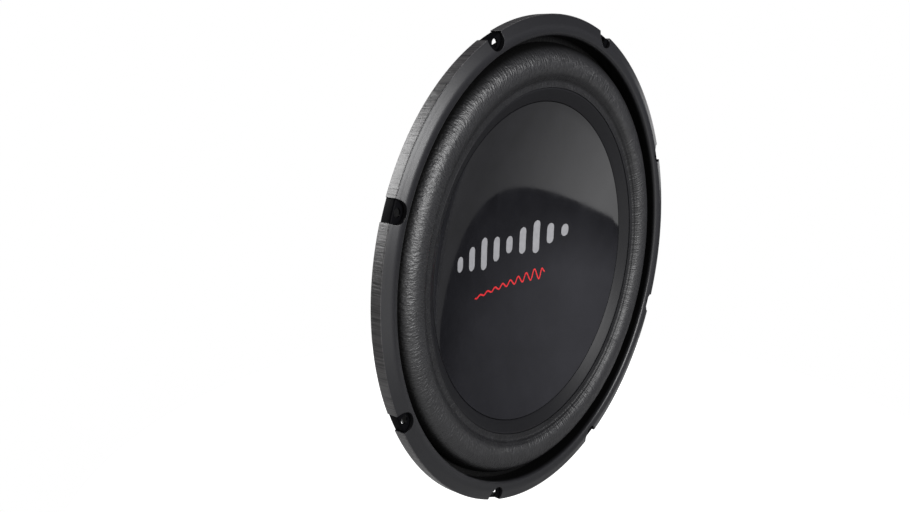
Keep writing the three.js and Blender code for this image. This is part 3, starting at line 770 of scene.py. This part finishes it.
def ear_hole(hand):
    """A bar along X where an ear rivet goes."""
    bar = prism("hole", circle(0, 0, EAR_HOLE, 28), CUP - 6, EAR_OUT + 2)
    bar.data.transform(Matrix.Translation((0, TERMINAL_Y * MM, hand * EAR_PITCH * MM)) @ SWAP_XY)
    return bar


def basket(material):
    outline = dense(rounded(basket_outline(), 4), 3.5)
    body = turned("basket_sheet", outline, 360, arm_rib)
    tools = window_tools() + terminal_wall_tools()
    tools += round_holes(SCREWS, FIRST_SCREW, SCREW_CIRCLE, SCREW_HOLE, FLANGE - 2, FLANGE + 3)
    tools += round_holes(RIVETS, 0, RIVET_CIRCLE, RIVET_HOLE, SEAT_REAR - 3, SEAT_REAR + 2)
    carved(body, tools)
    finished(body, material, "basket", sharp=30)


# ---- surround, cone and dish ----
def surround(material):
    """Outer flange, half-round roll, concave fillet and inner flange."""
    foot = LEDGE - 1.5
    front = [
        (ROLL_OUT, foot - GAP),
        *arc(ROLL, foot, ROLL_HALF, ROLL_CREST - foot, 0, 90, 26),
        *arc(ROLL, ROLL_CREST + 4.6, 9.6, -4.6, 90, 158, 16)[1:],
        *arc(LAND + 3.2, CONE_FRONT - 4.6, 3.2, 4.3, 35, 90, 6),
        (LAND + 0.2, CONE_FRONT - 0.3),
    ]
    outline = dense(front + offset(front, RUBBER)[::-1], 0.9)

    def undulate(azimuth, r, y):
        free = smooth_step(LAND + 4, LAND + 8, r) * (1 - smooth_step(ROLL + 6, ROLL + 11, r))
        p = at(azimuth, r) / MM
        return r, y + 0.16 * free * noise.noise(p / 11) + 0.05 * free * noise.noise(p / 3)

    skin = turned("surround_skin", outline, 720, undulate)
    finished(skin, material, "surround", body=None, sharp=40)

    def weight(p):
        return 1 - smooth_step(LAND + 5, ROLL_OUT - 4.5, math.hypot(p.x, p.z))

    blended(skin, weight)


def bowl(r):
    """Front surface of the dish at a radius."""
    depth = DISH_REAR - DISH_SHEET - DISH_EDGE
    sphere = (DISH**2 + depth**2) / (2 * depth)
    return DISH_REAR - DISH_SHEET - sphere + math.sqrt(sphere**2 - r**2)


def cone(material):
    """Flange under the surround, step, sloping land, dish seat, ribbed cone and neck."""
    flange = CONE_FRONT + RUBBER
    seat = DISH_EDGE + DISH_SHEET + 5 * GAP
    rear = seat + CONE_SHEET
    outline = rounded([
        (CONE_OUT, flange, 0.3), (LAND, flange, 0.2), (LAND, CONE_FRONT, 0.35), (LAND - 1, CONE_FRONT, 0.4),
        (DISH + GAP, DISH_EDGE, 0.35), (DISH + GAP, seat, 0.2), (DISH - 3, seat, 0.3),
        (FORMER + 3, NECK_REAR - 6, 1.0), (FORMER + GAP, NECK_REAR - 5, 0.4), (FORMER + GAP, NECK_REAR, 0.2),
        (FORMER + 1.7, NECK_REAR, 0.4), (FORMER + 1.7, NECK_REAR - 4.5, 0.8),
        (FORMER + 4, NECK_REAR - 5, 1.0), (DISH - 2, rear, 1.2), (DISH + 1.6, rear, 0.8),
        (LAND + 0.5, flange + CONE_SHEET, 0.8), (CONE_OUT, flange + CONE_SHEET, 0.4),
    ], 4)

    def ribs(azimuth, r, y):
        """Low radial ribs pressed into the rear of the cone."""
        if 40 < r < 100 and y > seat + 1:
            wave = math.cos(math.radians(azimuth * 24)) * 0.5 + 0.5
            reach = smooth_step(40, 50, r) * (1 - smooth_step(88, 98, r))
            return r, y + 0.5 * reach * wave**3
        return r, y

    body = turned("cone_shell", dense(outline, 3.0), 576, ribs)
    finished(body, material, "cone_body", body="cone", sharp=34)


def dish(material):
    steps = 36
    front = [(DISH * k / steps, bowl(DISH * k / steps)) for k in range(steps)]
    edge = [(DISH - 0.25, DISH_EDGE + 0.03), (DISH, DISH_EDGE + 0.28), (DISH, DISH_EDGE + DISH_SHEET)]
    rear = [(r, y + DISH_SHEET) for r, y in reversed(front[:-1])]
    body = turned("dish_bowl", front + edge + rear, SIDES)
    finished(body, material, "front_dish", body="cone", sharp=50)


def ribbon(bm, path, half_width):
    """A round-ended stroke along (x, z) points, laid on the dish as a film."""
    count = len(path) - 1
    length = sum(math.dist(path[i], path[i + 1]) for i in range(count))
    rows, run = [], 0.0
    for i, here in enumerate(path):
        if i:
            run += math.dist(path[i - 1], here)
        ahead = Vector(path[min(count, i + 1)]) - Vector(path[max(0, i - 1)])
        side = Vector((-ahead.y, ahead.x)).normalized()
        from_end = min(run, length - run)
        cap = max(0.0, 1 - from_end / half_width)
        width = half_width * math.sqrt(1 - cap * cap) + 0.02
        rows.append([Vector(here) + side * width * k / 3 for k in range(-3, 4)])
    under, film = 0.03, 0.08
    layers = [[[
        bm.verts.new((p.x * MM, (bowl(p.length) - lift) * MM, p.y * MM)) for p in row
    ] for row in rows] for lift in (under, under + film)]
    for grid in layers:
        for a, b in zip(grid, grid[1:]):
            for k in range(6):
                bm.faces.new((a[k], a[k + 1], b[k + 1], b[k]))
    for a, b, c, d in zip(layers[0], layers[0][1:], layers[1], layers[1][1:]):
        for k in (0, 6):
            bm.faces.new((a[k], b[k], d[k], c[k]))
    for end in (0, -1):
        for k in range(6):
            low, high = layers[0][end], layers[1][end]
            bm.faces.new((low[k], low[k + 1], high[k + 1], high[k]))


def level_bars(material):
    """A row of upright bars of different heights, as on a level meter."""
    bm = bmesh.new()
    heights = (10, 16, 22, 17, 12, 19, 24, 15, 9)
    pitch = 15.4
    for i, height in enumerate(heights):
        x = -8 + (i - (len(heights) - 1) / 2) * pitch
        path = [(x, 13 - height / 2 + height * k / 24) for k in range(25)]
        ribbon(bm, path, 3.6)
    finished(piece_from(bm, "dish_level_bars"), material, body="cone")


def wave_stroke(material):
    """A thin sine stroke that dies away."""
    bm = bmesh.new()
    steps = 220
    height, fade, waves = 5.0, 2.2, 9
    path = []
    for k in range(steps + 1):
        t = k / steps
        size = height * math.exp(-fade * t) * smooth_step(0.0, 0.06, t)
        path.append((33 - 84 * t, -14 + size * math.sin(2 * math.pi * waves * t)))
    ribbon(bm, path, 0.55)
    finished(piece_from(bm, "dish_wave_stroke"), material, body="cone")


# ---- voice coil, spider and motor ----
def wound(layer):
    """A layer of round wire, turn beside turn."""
    outer, low, high = extent(f"voice_coil_{layer}")
    steps = 4 * int((high - low) / COIL_PITCH)
    wire = [(outer - 0.8, low), (outer - 0.8, high)]
    for k in range(steps + 1):
        bulge = abs(math.sin(math.pi * k / 4))
        wire.append((outer - 0.12 * (1 - bulge), high - (high - low) * k / steps))
    return turned(f"coil_winding_{layer}", wire, 128)


def coil(wire, film):
    bore = FORMER - 0.4
    former = turned("coil_former", rounded([
        (bore, FORMER_FRONT, 0.1), (FORMER, FORMER_FRONT, 0.1),
        (FORMER, FORMER_REAR, 0.1), (bore, FORMER_REAR, 0.1),
    ], 2), 160)
    finished(former, film, "voice_coil_former", body="cone")
    for layer in ("inner", "outer"):
        finished(wound(layer), wire, f"voice_coil_{layer}", body="cone", sharp=60)


def spider(material):
    """A corrugated cloth disc between the former and the landing."""
    sheet, rolls, amplitude = 0.8, 7, 1.9
    middle = LANDING - 1
    inside, outside = FORMER + 4, CUP - 11
    collar = FORMER + 2 * GAP
    steps = rolls * 14
    wave = []
    for k in range(steps + 1):
        t = k / steps
        fade = smooth_step(0, 0.08, t) * (1 - smooth_step(0.92, 1.0, t))
        lift = amplitude * fade * math.sin(2 * math.pi * rolls * t)
        wave.append((inside + (outside - inside) * t, middle + lift))
    centre = [(collar + 0.4, middle - 1.8), (collar + 0.6, middle - 0.6), (collar + 1.6, middle), *wave,
              (outside + 3, LANDING - GAP - sheet / 2), (SPIDER_OUT - 0.1, LANDING - GAP - sheet / 2)]
    outline = offset(centre, -sheet / 2) + offset(centre, sheet / 2)[::-1]
    body = turned("spider_disc", outline, 192)
    finished(body, material, "spider", body=None, sharp=50)

    def weight(p):
        return 1 - smooth_step(inside, outside, math.hypot(p.x, p.z))

    blended(body, weight)


def motor(steel, stone):
    plate = turned("motor_top_plate", rounded([
        (PLATE_BORE, PLATE_FRONT, 0.5), (PLATE, PLATE_FRONT, 1.0), (PLATE, PLATE_REAR, 1.0),
        (PLATE_BORE, PLATE_REAR, 0.5),
    ], 3), 240)
    carved(plate, round_holes(RIVETS, 0, RIVET_CIRCLE, RIVET_HOLE, PLATE_FRONT - 2, PLATE_REAR + 2))
    finished(plate, steel, "top_plate")
    for end in ("front", "rear"):
        node = f"magnet_{end}"
        _, low, high = extent(node)
        ring = turned(f"ferrite_{end}", rounded([
            (MAGNET_BORE, low, 0.6), (MAGNET - 1.2, low, 0.25), (MAGNET, low + 1.2, 0.25),
            (MAGNET, high - 1.2, 0.25), (MAGNET - 1.2, high, 0.25), (MAGNET_BORE, high, 0.6),
        ], 3), 240)
        finished(ring, stone, node)
    front = YOKE_REAR - YOKE_THICKNESS
    yoke = turned("motor_yoke", rounded([
        (VENT + 3, POLE_FRONT, 0.8), (POLE, POLE_FRONT, 0.8), (POLE, front - 2.5, 1.5),
        (POLE + 3, front, 1.0), (YOKE, front, 0.4), (YOKE, YOKE_REAR, 1.6), (SCREEN + GAP, YOKE_REAR, 0.5),
        (SCREEN + GAP, YOKE_REAR - 2, 0.2), (SCREEN - 1.6, YOKE_REAR - 2, 0.4), (VENT, YOKE_REAR - 6, 0.8),
        (VENT, PLATE_FRONT + 4, 0.8),
    ], 4), 240)
    finished(yoke, steel, "t_yoke")


def boot(material):
    """A moulded rubber cup with shallow bands round its wall and rings on its rear."""
    wall = BOOT - 1.7
    inner_rear = BOOT_REAR - 1.7
    groove, sunk = BOOT - 0.5, BOOT_REAR - 0.5
    bands, rings = [], []
    for y in (BOOT_FRONT + 3.5, BOOT_FRONT + 9.5):
        bands += [(BOOT, y, 0.3), (groove, y + 0.6, 0.2), (groove, y + 3.2, 0.2), (BOOT, y + 3.8, 0.3)]
    for r in (56, 48, 40):
        rings += [(r, BOOT_REAR, 0.3), (r - 0.5, sunk, 0.2), (r - 2.5, sunk, 0.2), (r - 3, BOOT_REAR, 0.3)]
    body = turned("magnet_cover", rounded([
        (wall, BOOT_FRONT, 0.3), (BOOT, BOOT_FRONT, 0.7), *bands, (BOOT, BOOT_REAR - 7.7, 3.0),
        (BOOT - 4.0, BOOT_REAR - 1.5, 2.5), (YOKE, BOOT_REAR, 2.0), *rings, (BOOT_BORE, BOOT_REAR, 0.7),
        (BOOT_BORE, inner_rear, 0.3), (YOKE + 0.6, inner_rear, 0.3), (YOKE + 0.6, inner_rear - 3, 0.3),
        (wall, inner_rear - 8, 0.5),
    ], 4), 288)
    finished(body, material, "magnet_boot", sharp=40)


def vent_screen(material):
    """A perforated disc with a close hexagonal field of holes."""
    curve = bpy.data.curves.new("vent_grille", "CURVE")
    curve.dimensions = "2D"
    curve.fill_mode = "BOTH"
    curve.extrude = 0.28 * MM
    curve.bevel_depth = 0.1 * MM
    curve.bevel_resolution = 1
    pitch, hole = 2.7, 0.95
    circles = [(0, 0, SCREEN - 0.1, 96)]
    for row in range(-4, 5):
        count = 9 - abs(row)
        z = row * pitch * math.sqrt(0.75)
        circles += [((i - (count - 1) / 2) * pitch, z, hole, 16) for i in range(count)]
    for x, z, r, sides in circles:
        points = circle(x, z, r, sides)
        spline = curve.splines.new("POLY")
        spline.points.add(len(points) - 1)
        for point, (a, b) in zip(spline.points, points):
            point.co = (a * MM, b * MM, 0, 1)
        spline.use_cyclic_u = True
    shape = placed("vent_curve", curve)
    mesh = bpy.data.meshes.new_from_object(shape.evaluated_get(bpy.context.evaluated_depsgraph_get()))
    bpy.data.objects.remove(shape)
    middle = (SCREEN_FRONT + SCREEN_REAR) / 2 * MM
    mesh.transform(Matrix.Translation((0, middle, 0)) @ Matrix.Rotation(math.radians(90), 4, "X"))
    finished(placed("vent_grille", mesh), material, "vent_screen")


def plate_rivets(material):
    head = SEAT_REAR - STEEL - GAP
    end = PLATE_FRONT + 6
    shank = RIVET_HOLE - 0.4
    outline = rounded([
        (0, head - 1.6, 0), (2.4, head - 1.55, 1.2), (4, head, 0.3), (shank, head, 0.1),
        (shank, end, 0.4), (0, end, 0),
    ], 4)
    for k in range(RIVETS):
        rivet = turned(f"seat_rivet_{k + 1}", outline, 40)
        rivet.data.transform(Matrix.Translation(at(360 * k / RIVETS, RIVET_CIRCLE)))
        finished(rivet, material, f"plate_rivet_{k + 1}")


# ---- terminals, made for the +X side and turned to the other ----
def on_side(piece, label):
    piece.data.transform(turn_about_y(0 if label.startswith("right") else 180))
    return piece


def terminal_block(side, material):
    half_y, half_z = BLOCK_HALF
    ear_y, ear_z = EAR_HALF
    long = about(TERMINAL_Y, half_y)
    body = block(f"terminal_housing_{side}", (CUP - 2, BLOCK_OUT), long, about(0, half_z))
    ears = block("ears", (CUP - 4, EAR_OUT), about(TERMINAL_Y, ear_y), about(0, ear_z))
    carved(body, [ears], "UNION")
    tools = [prism("saddle", circle(0, 0, CUP + STEEL + GAP, 128), *about(TERMINAL_Y, 2 * half_y))]
    thick, wide = CONTACT_HALF[0] * 2, CONTACT_HALF[1] + GAP
    past, wire_x = BLOCK_OUT + 1, BUTTON_HOLE - BUTTON_TRAVEL
    for hand in (-1, 1):
        z = hand * TERMINAL_PITCH
        tools += [
            block("pocket", (POCKET_FLOOR, past), (POCKET_FRONT, POCKET_REAR), about(z, POCKET_HALF)),
            block("strip", (CUP - 4, POCKET_FLOOR + 1), about(CONTACT_Y, thick), about(z, wide)),
            prism("wire", circle(wire_x, z, WIRE_HOLE), POCKET_REAR - 1, POCKET_REAR + 4),
            ear_hole(hand),
        ]
        for edge in (POCKET_HALF + 1.1, POCKET_HALF + 2.2):
            across = about(z + hand * edge, 0.25)
            tools.append(block("flute", (BLOCK_OUT - 0.6, past), about(TERMINAL_Y, half_y - 1), across))
    for tool in tools:
        carved(body, [tool])
    softened(on_side(body, side), 0.22, 2)
    finished(body, material, f"terminal_block_{side}")


def terminal_button(label, hand, material):
    z = hand * TERMINAL_PITCH
    high = about(z, POCKET_HALF - GAP)
    body = block(f"push_button_{label}", (BUTTON_IN, BUTTON_OUT), (BUTTON_FRONT, BUTTON_REAR), high)
    carved(body, [prism("wire", circle(BUTTON_HOLE, z, WIRE_HOLE), POCKET_FRONT, POCKET_REAR + 1)])
    thumb = prism("thumb", circle(0, 0, THUMB, 48), z - 6, z + 6)
    shift = Vector((BUTTON_OUT + THUMB - 1, BUTTON_MIDDLE, 0)) * MM
    thumb.data.transform(Matrix.Translation(shift) @ SWAP_YZ)
    carved(body, [thumb])
    softened(on_side(body, label), 0.4, 3)
    finished(body, material, f"terminal_button_{label}", body=f"button_{label}")


def tube(name, path, r, sides):
    """A closed tube along points in millimetres."""
    bm = bmesh.new()
    rings = []
    normal = Vector((0, 0, 1))
    for i, here in enumerate(path):
        ahead = (path[min(len(path) - 1, i + 1)] - path[max(0, i - 1)]).normalized()
        normal = (normal - ahead * normal.dot(ahead)).normalized()
        other = ahead.cross(normal)
        ring = []
        for k in range(sides):
            a = 2 * math.pi * k / sides
            ring.append(bm.verts.new((here + (normal * math.cos(a) + other * math.sin(a)) * r) * MM))
        rings.append(ring)
    for a, b in zip(rings, rings[1:]):
        for k in range(sides):
            bm.faces.new((a[k], a[(k + 1) % sides], b[(k + 1) % sides], b[k]))
    bm.faces.new(rings[0])
    bm.faces.new(rings[-1])
    return piece_from(bm, name)


def terminal_spring(label, hand, material):
    wire, coil_radius = 0.32, 2.6
    low, high = POCKET_FLOOR + GAP + wire, BUTTON_IN - GAP - wire
    turns, steps = 4.5, 150
    path = []
    for k in range(steps + 1):
        a = 2 * math.pi * turns * k / steps
        y, z = coil_radius * math.cos(a), coil_radius * math.sin(a)
        path.append(Vector((low + (high - low) * k / steps, BUTTON_MIDDLE + y, hand * TERMINAL_PITCH + z)))
    spring = on_side(tube(f"return_spring_{label}", path, wire, 10), label)
    finished(spring, material, f"terminal_spring_{label}", body=None)

    def weight(p):
        return min(1.0, max(0.0, (abs(p.x) - low) / (high - low)))

    blended(spring, weight)


def terminal_contact(label, hand, material):
    """A tinned strip with an eyelet where the lead is soldered."""
    z = hand * TERMINAL_PITCH
    thick, wide = CONTACT_HALF
    outer = BUTTON_HOLE - 2
    outline = [(outer, z + wide), *circle(LUG_END + wide, z, wide, 20, 90, 270), (outer, z - wide)]
    strip = prism(f"contact_strip_{label}", outline, CONTACT_Y - thick, CONTACT_Y + thick)
    carved(strip, [prism("eye", circle(LUG_END + 2.4, z, 0.9, 20), CONTACT_Y - 2, CONTACT_Y + 2)])
    softened(on_side(strip, label), 0.12, 2)
    finished(strip, material, f"terminal_contact_{label}")


def terminal_rivet(label, hand, material):
    inside, seat, face, shank = 78.4, 79.4, 88.3, EAR_HOLE - 0.4
    outline = rounded([
        (0, inside, 0), (2.6, inside, 0.4), (2.6, seat, 0.2), (shank, seat, 0.1),
        (shank, face, 0.1), (3, face, 0.3), (2, face + 1.3, 0.9), (0, face + 1.3, 0),
    ], 3)
    rivet = turned(f"ear_rivet_{label}", outline, 36)
    rivet.data.transform(Matrix.Translation((0, TERMINAL_Y * MM, hand * EAR_PITCH * MM)) @ SWAP_XY)
    rivet.data.flip_normals()
    on_side(rivet, label)
    finished(rivet, material, f"terminal_rivet_{label}")


def catmull(points, steps):
    """A smooth path through points."""
    path = []
    ends = [2 * points[0] - points[1], *points, 2 * points[-1] - points[-2]]
    for i in range(len(points) - 1):
        a, b, c, d = ends[i:i + 4]
        for k in range(steps):
            t = k / steps
            path.append(0.5 * (2 * b + (c - a) * t + (2 * a - 5 * b + 4 * c - d) * t**2
                               + (3 * b - a - 3 * c + d) * t**3))
    return path + [points[-1]]


def tinsel_lead(label, hand, material):
    """A braided lead from a lug, slack across the front of the spider, to the cone's neck."""
    route = [
        (LUG_END - GAP, CONTACT_Y), (70.5, 30.4), (64, 29.6), (56, 31.2), (48, 34.2), (40, 36), (33, 35.6),
        (FORMER + 1.2, NECK_REAR - 2),
    ]
    path = catmull([Vector((x, y, hand * TERMINAL_PITCH)) for x, y in route], 12)
    lead = on_side(tube(f"braided_lead_{label}", path, 1.05, 16), label)
    finished(lead, material, f"tinsel_lead_{label}", body=None)

    def weight(p):
        return 1 - smooth_step(28, 74, abs(p.x))

    blended(lead, weight)


# ---- the whole speaker ----
def speaker():
    rivet_steel = plated("rivet_steel", (0.50, 0.49, 0.47), 0.3, rings=False)
    trim_ring(trim_rubber())
    basket(basket_paint())
    surround(surround_rubber())
    cone(cone_gloss())
    dish(dish_gloss())
    level_bars(ink("print_grey", (0.225, 0.225, 0.235), 0.4))
    wave_stroke(ink("print_red", (0.50, 0.012, 0.016), 0.35))
    coil(winding(), former_film())
    spider(spider_cloth())
    motor(plated("plated_steel", (0.46, 0.45, 0.42), 0.32), ferrite())
    boot(moulded("boot_rubber", (0.022, 0.022, 0.023), 0.5, 0.03, 0.6))
    vent_screen(moulded("screen_paint", (0.02, 0.02, 0.021), 0.35))
    plate_rivets(rivet_steel)
    terminals(rivet_steel)


def terminals(rivet_steel):
    plastic = moulded("terminal_plastic", (0.014, 0.014, 0.015), 0.42)
    buttons = {1: moulded("button_red", (0.33, 0.008, 0.012), 0.36),
               2: moulded("button_black", (0.012, 0.012, 0.013), 0.36)}
    spring_steel = plated("spring_steel", (0.42, 0.41, 0.40), 0.28, rings=False)
    tin = plated("contact_metal", (0.62, 0.60, 0.56), 0.3, rings=False)
    copper = braid()
    for side in ("right", "left"):
        terminal_block(side, plastic)
        for number, hand in ((1, -1), (2, 1)):
            label = f"{side}_{number}"
            terminal_button(label, hand, buttons[number])
            terminal_spring(label, hand, spring_steel)
            terminal_contact(label, hand, tin)
            terminal_rivet(label, hand, rivet_steel)
            tinsel_lead(label, hand, copper)


# ---- studio ----
CAMERA_DISTANCE = 0.5679  # from the middle of the trim ring's face
CAMERA_AZIMUTH = -56.48  # where the camera stands, from -Y towards +X
CAMERA_HEIGHT = 14.77  # its angle above the speaker's middle
LOOK_AZIMUTH = 49.84  # where it looks, from +Y towards +X
LOOK_DOWN = 17.69
ROLL_ANGLE = 0.81
LENS = 33.35
SHIFT_Y = 0.0593
TABLE_RADIUS = 0.33
TABLE_GAP = 0.0005


def toward(azimuth, height):
    """A direction from an azimuth, from +Y towards +X, and an angle above the horizon."""
    a, e = math.radians(azimuth), math.radians(height)
    return Vector((math.sin(a) * math.cos(e), math.cos(a) * math.cos(e), math.sin(e)))


def camera():
    middle = Vector((0, PARTING * MM, 0))
    data = bpy.data.cameras.new("camera")
    data.lens = LENS
    data.shift_y = SHIFT_Y
    data.clip_start, data.clip_end = 0.01, 20
    eye = placed("camera", data)
    eye.location = middle + toward(180 - CAMERA_AZIMUTH, CAMERA_HEIGHT) * CAMERA_DISTANCE
    eye.rotation_mode = "QUATERNION"
    roll = Matrix.Rotation(math.radians(-ROLL_ANGLE), 3, "Z").to_quaternion()
    eye.rotation_quaternion = toward(LOOK_AZIMUTH, -LOOK_DOWN).to_track_quat("-Z", "Y") @ roll
    bpy.context.scene.camera = eye


def floor():
    """A round table that is white to the camera and dim to bounced light."""
    bm = bmesh.new()
    bmesh.ops.create_circle(bm, cap_ends=True, radius=TABLE_RADIUS, segments=256)
    bm.transform(Matrix.Translation((0, 0, CAD_BOX[0].z - TABLE_GAP)))
    table = piece_from(bm, "floor")
    f = Finish("floor_white", Base_Color=[0.45] * 3, Roughness=0.9)
    cloud = f.noise(160.0, 2.0)
    f.color(f.mix(cloud, [0.44] * 3, [0.46] * 3))
    f.shader.inputs["Emission Color"].default_value = (1, 1, 1, 1)
    seen = f.node("LightPath").outputs["Is Camera Ray"]
    f.feed(f.shader.inputs["Emission Strength"], f.ramp(seen, 0.0, 1.0, 0.05, 0.98))
    table.data.materials.append(f.material)


def softbox(name, place, size, power):
    """A rectangular area light that looks at the speaker."""
    data = bpy.data.lights.new(name, "AREA")
    data.shape = "RECTANGLE"
    data.size, data.size_y = size
    data.energy = power
    lamp = placed(name, data)
    lamp.location = place
    lamp.rotation_mode = "QUATERNION"
    lamp.rotation_quaternion = (-Vector(place)).to_track_quat("-Z", "Y")


def world():
    """White behind the speaker for the camera. Round it a pale ground ends at a straight far edge,
    with a dark line along it, and a dim room rises over it that is brightest in front."""
    made = bpy.data.worlds.new("studio")
    sky = Nodes(made)
    direction = sky.node("TexCoord").outputs["Generated"]

    def along(axis, offset=0.0):
        """How far a ray runs along an axis, plus an offset."""
        dot = sky.node("VectorMath", {0: direction, 1: axis}, operation="DOT_PRODUCT")
        return sky.math("ADD", dot.outputs["Value"], offset)

    over_edge = along((0.513, -0.359, 1.0), -0.246)
    forward = along((0.0, -1.0, 0.0))
    swell = sky.math("POWER", sky.ramp(forward, 0.0, 0.83, 0.0, 0.83), 3.0)
    up = along((0.0, 0.0, 1.0))
    near = sky.ramp(up, -0.44, -0.56, 1.0, 0.2)
    ground = sky.math("MULTIPLY", sky.math("MULTIPLY_ADD", swell, 2.9, 0.12), near)
    room = sky.math("MULTIPLY_ADD", swell, 0.85, 0.10)
    room = sky.math("MULTIPLY", room, sky.ramp(over_edge, 0.015, 0.15, 0.12, 1.0))
    room = sky.math("MULTIPLY", room, sky.ramp(up, 0.1, 0.6, 1.0, 0.45))
    room = sky.mix(room, (0, 0, 0), (0.97, 0.97, 1.08))
    ground = sky.vector("SCALE", (1, 1, 1), scale=ground)
    around = sky.mix(sky.math("LESS_THAN", over_edge, 0.0), room, ground)
    seen = sky.node("LightPath").outputs["Is Camera Ray"]
    sky.feed(sky.tree.nodes["Background"].inputs["Color"], sky.mix(seen, around, (1, 1, 1)))
    bpy.context.scene.world = made


def studio():
    camera()
    floor()
    world()
    softbox("back_left_light", (-0.74, 1.04, 0.82), (0.9, 0.9), 23)
    softbox("front_light", (0.04, -1.45, 0.42), (1.1, 0.5), 32)
    softbox("right_light", (1.6, 0.12, 0.02), (0.5, 0.35), 0.9)
    bpy.context.scene.view_settings.view_transform = "Standard"


studio()
speaker()
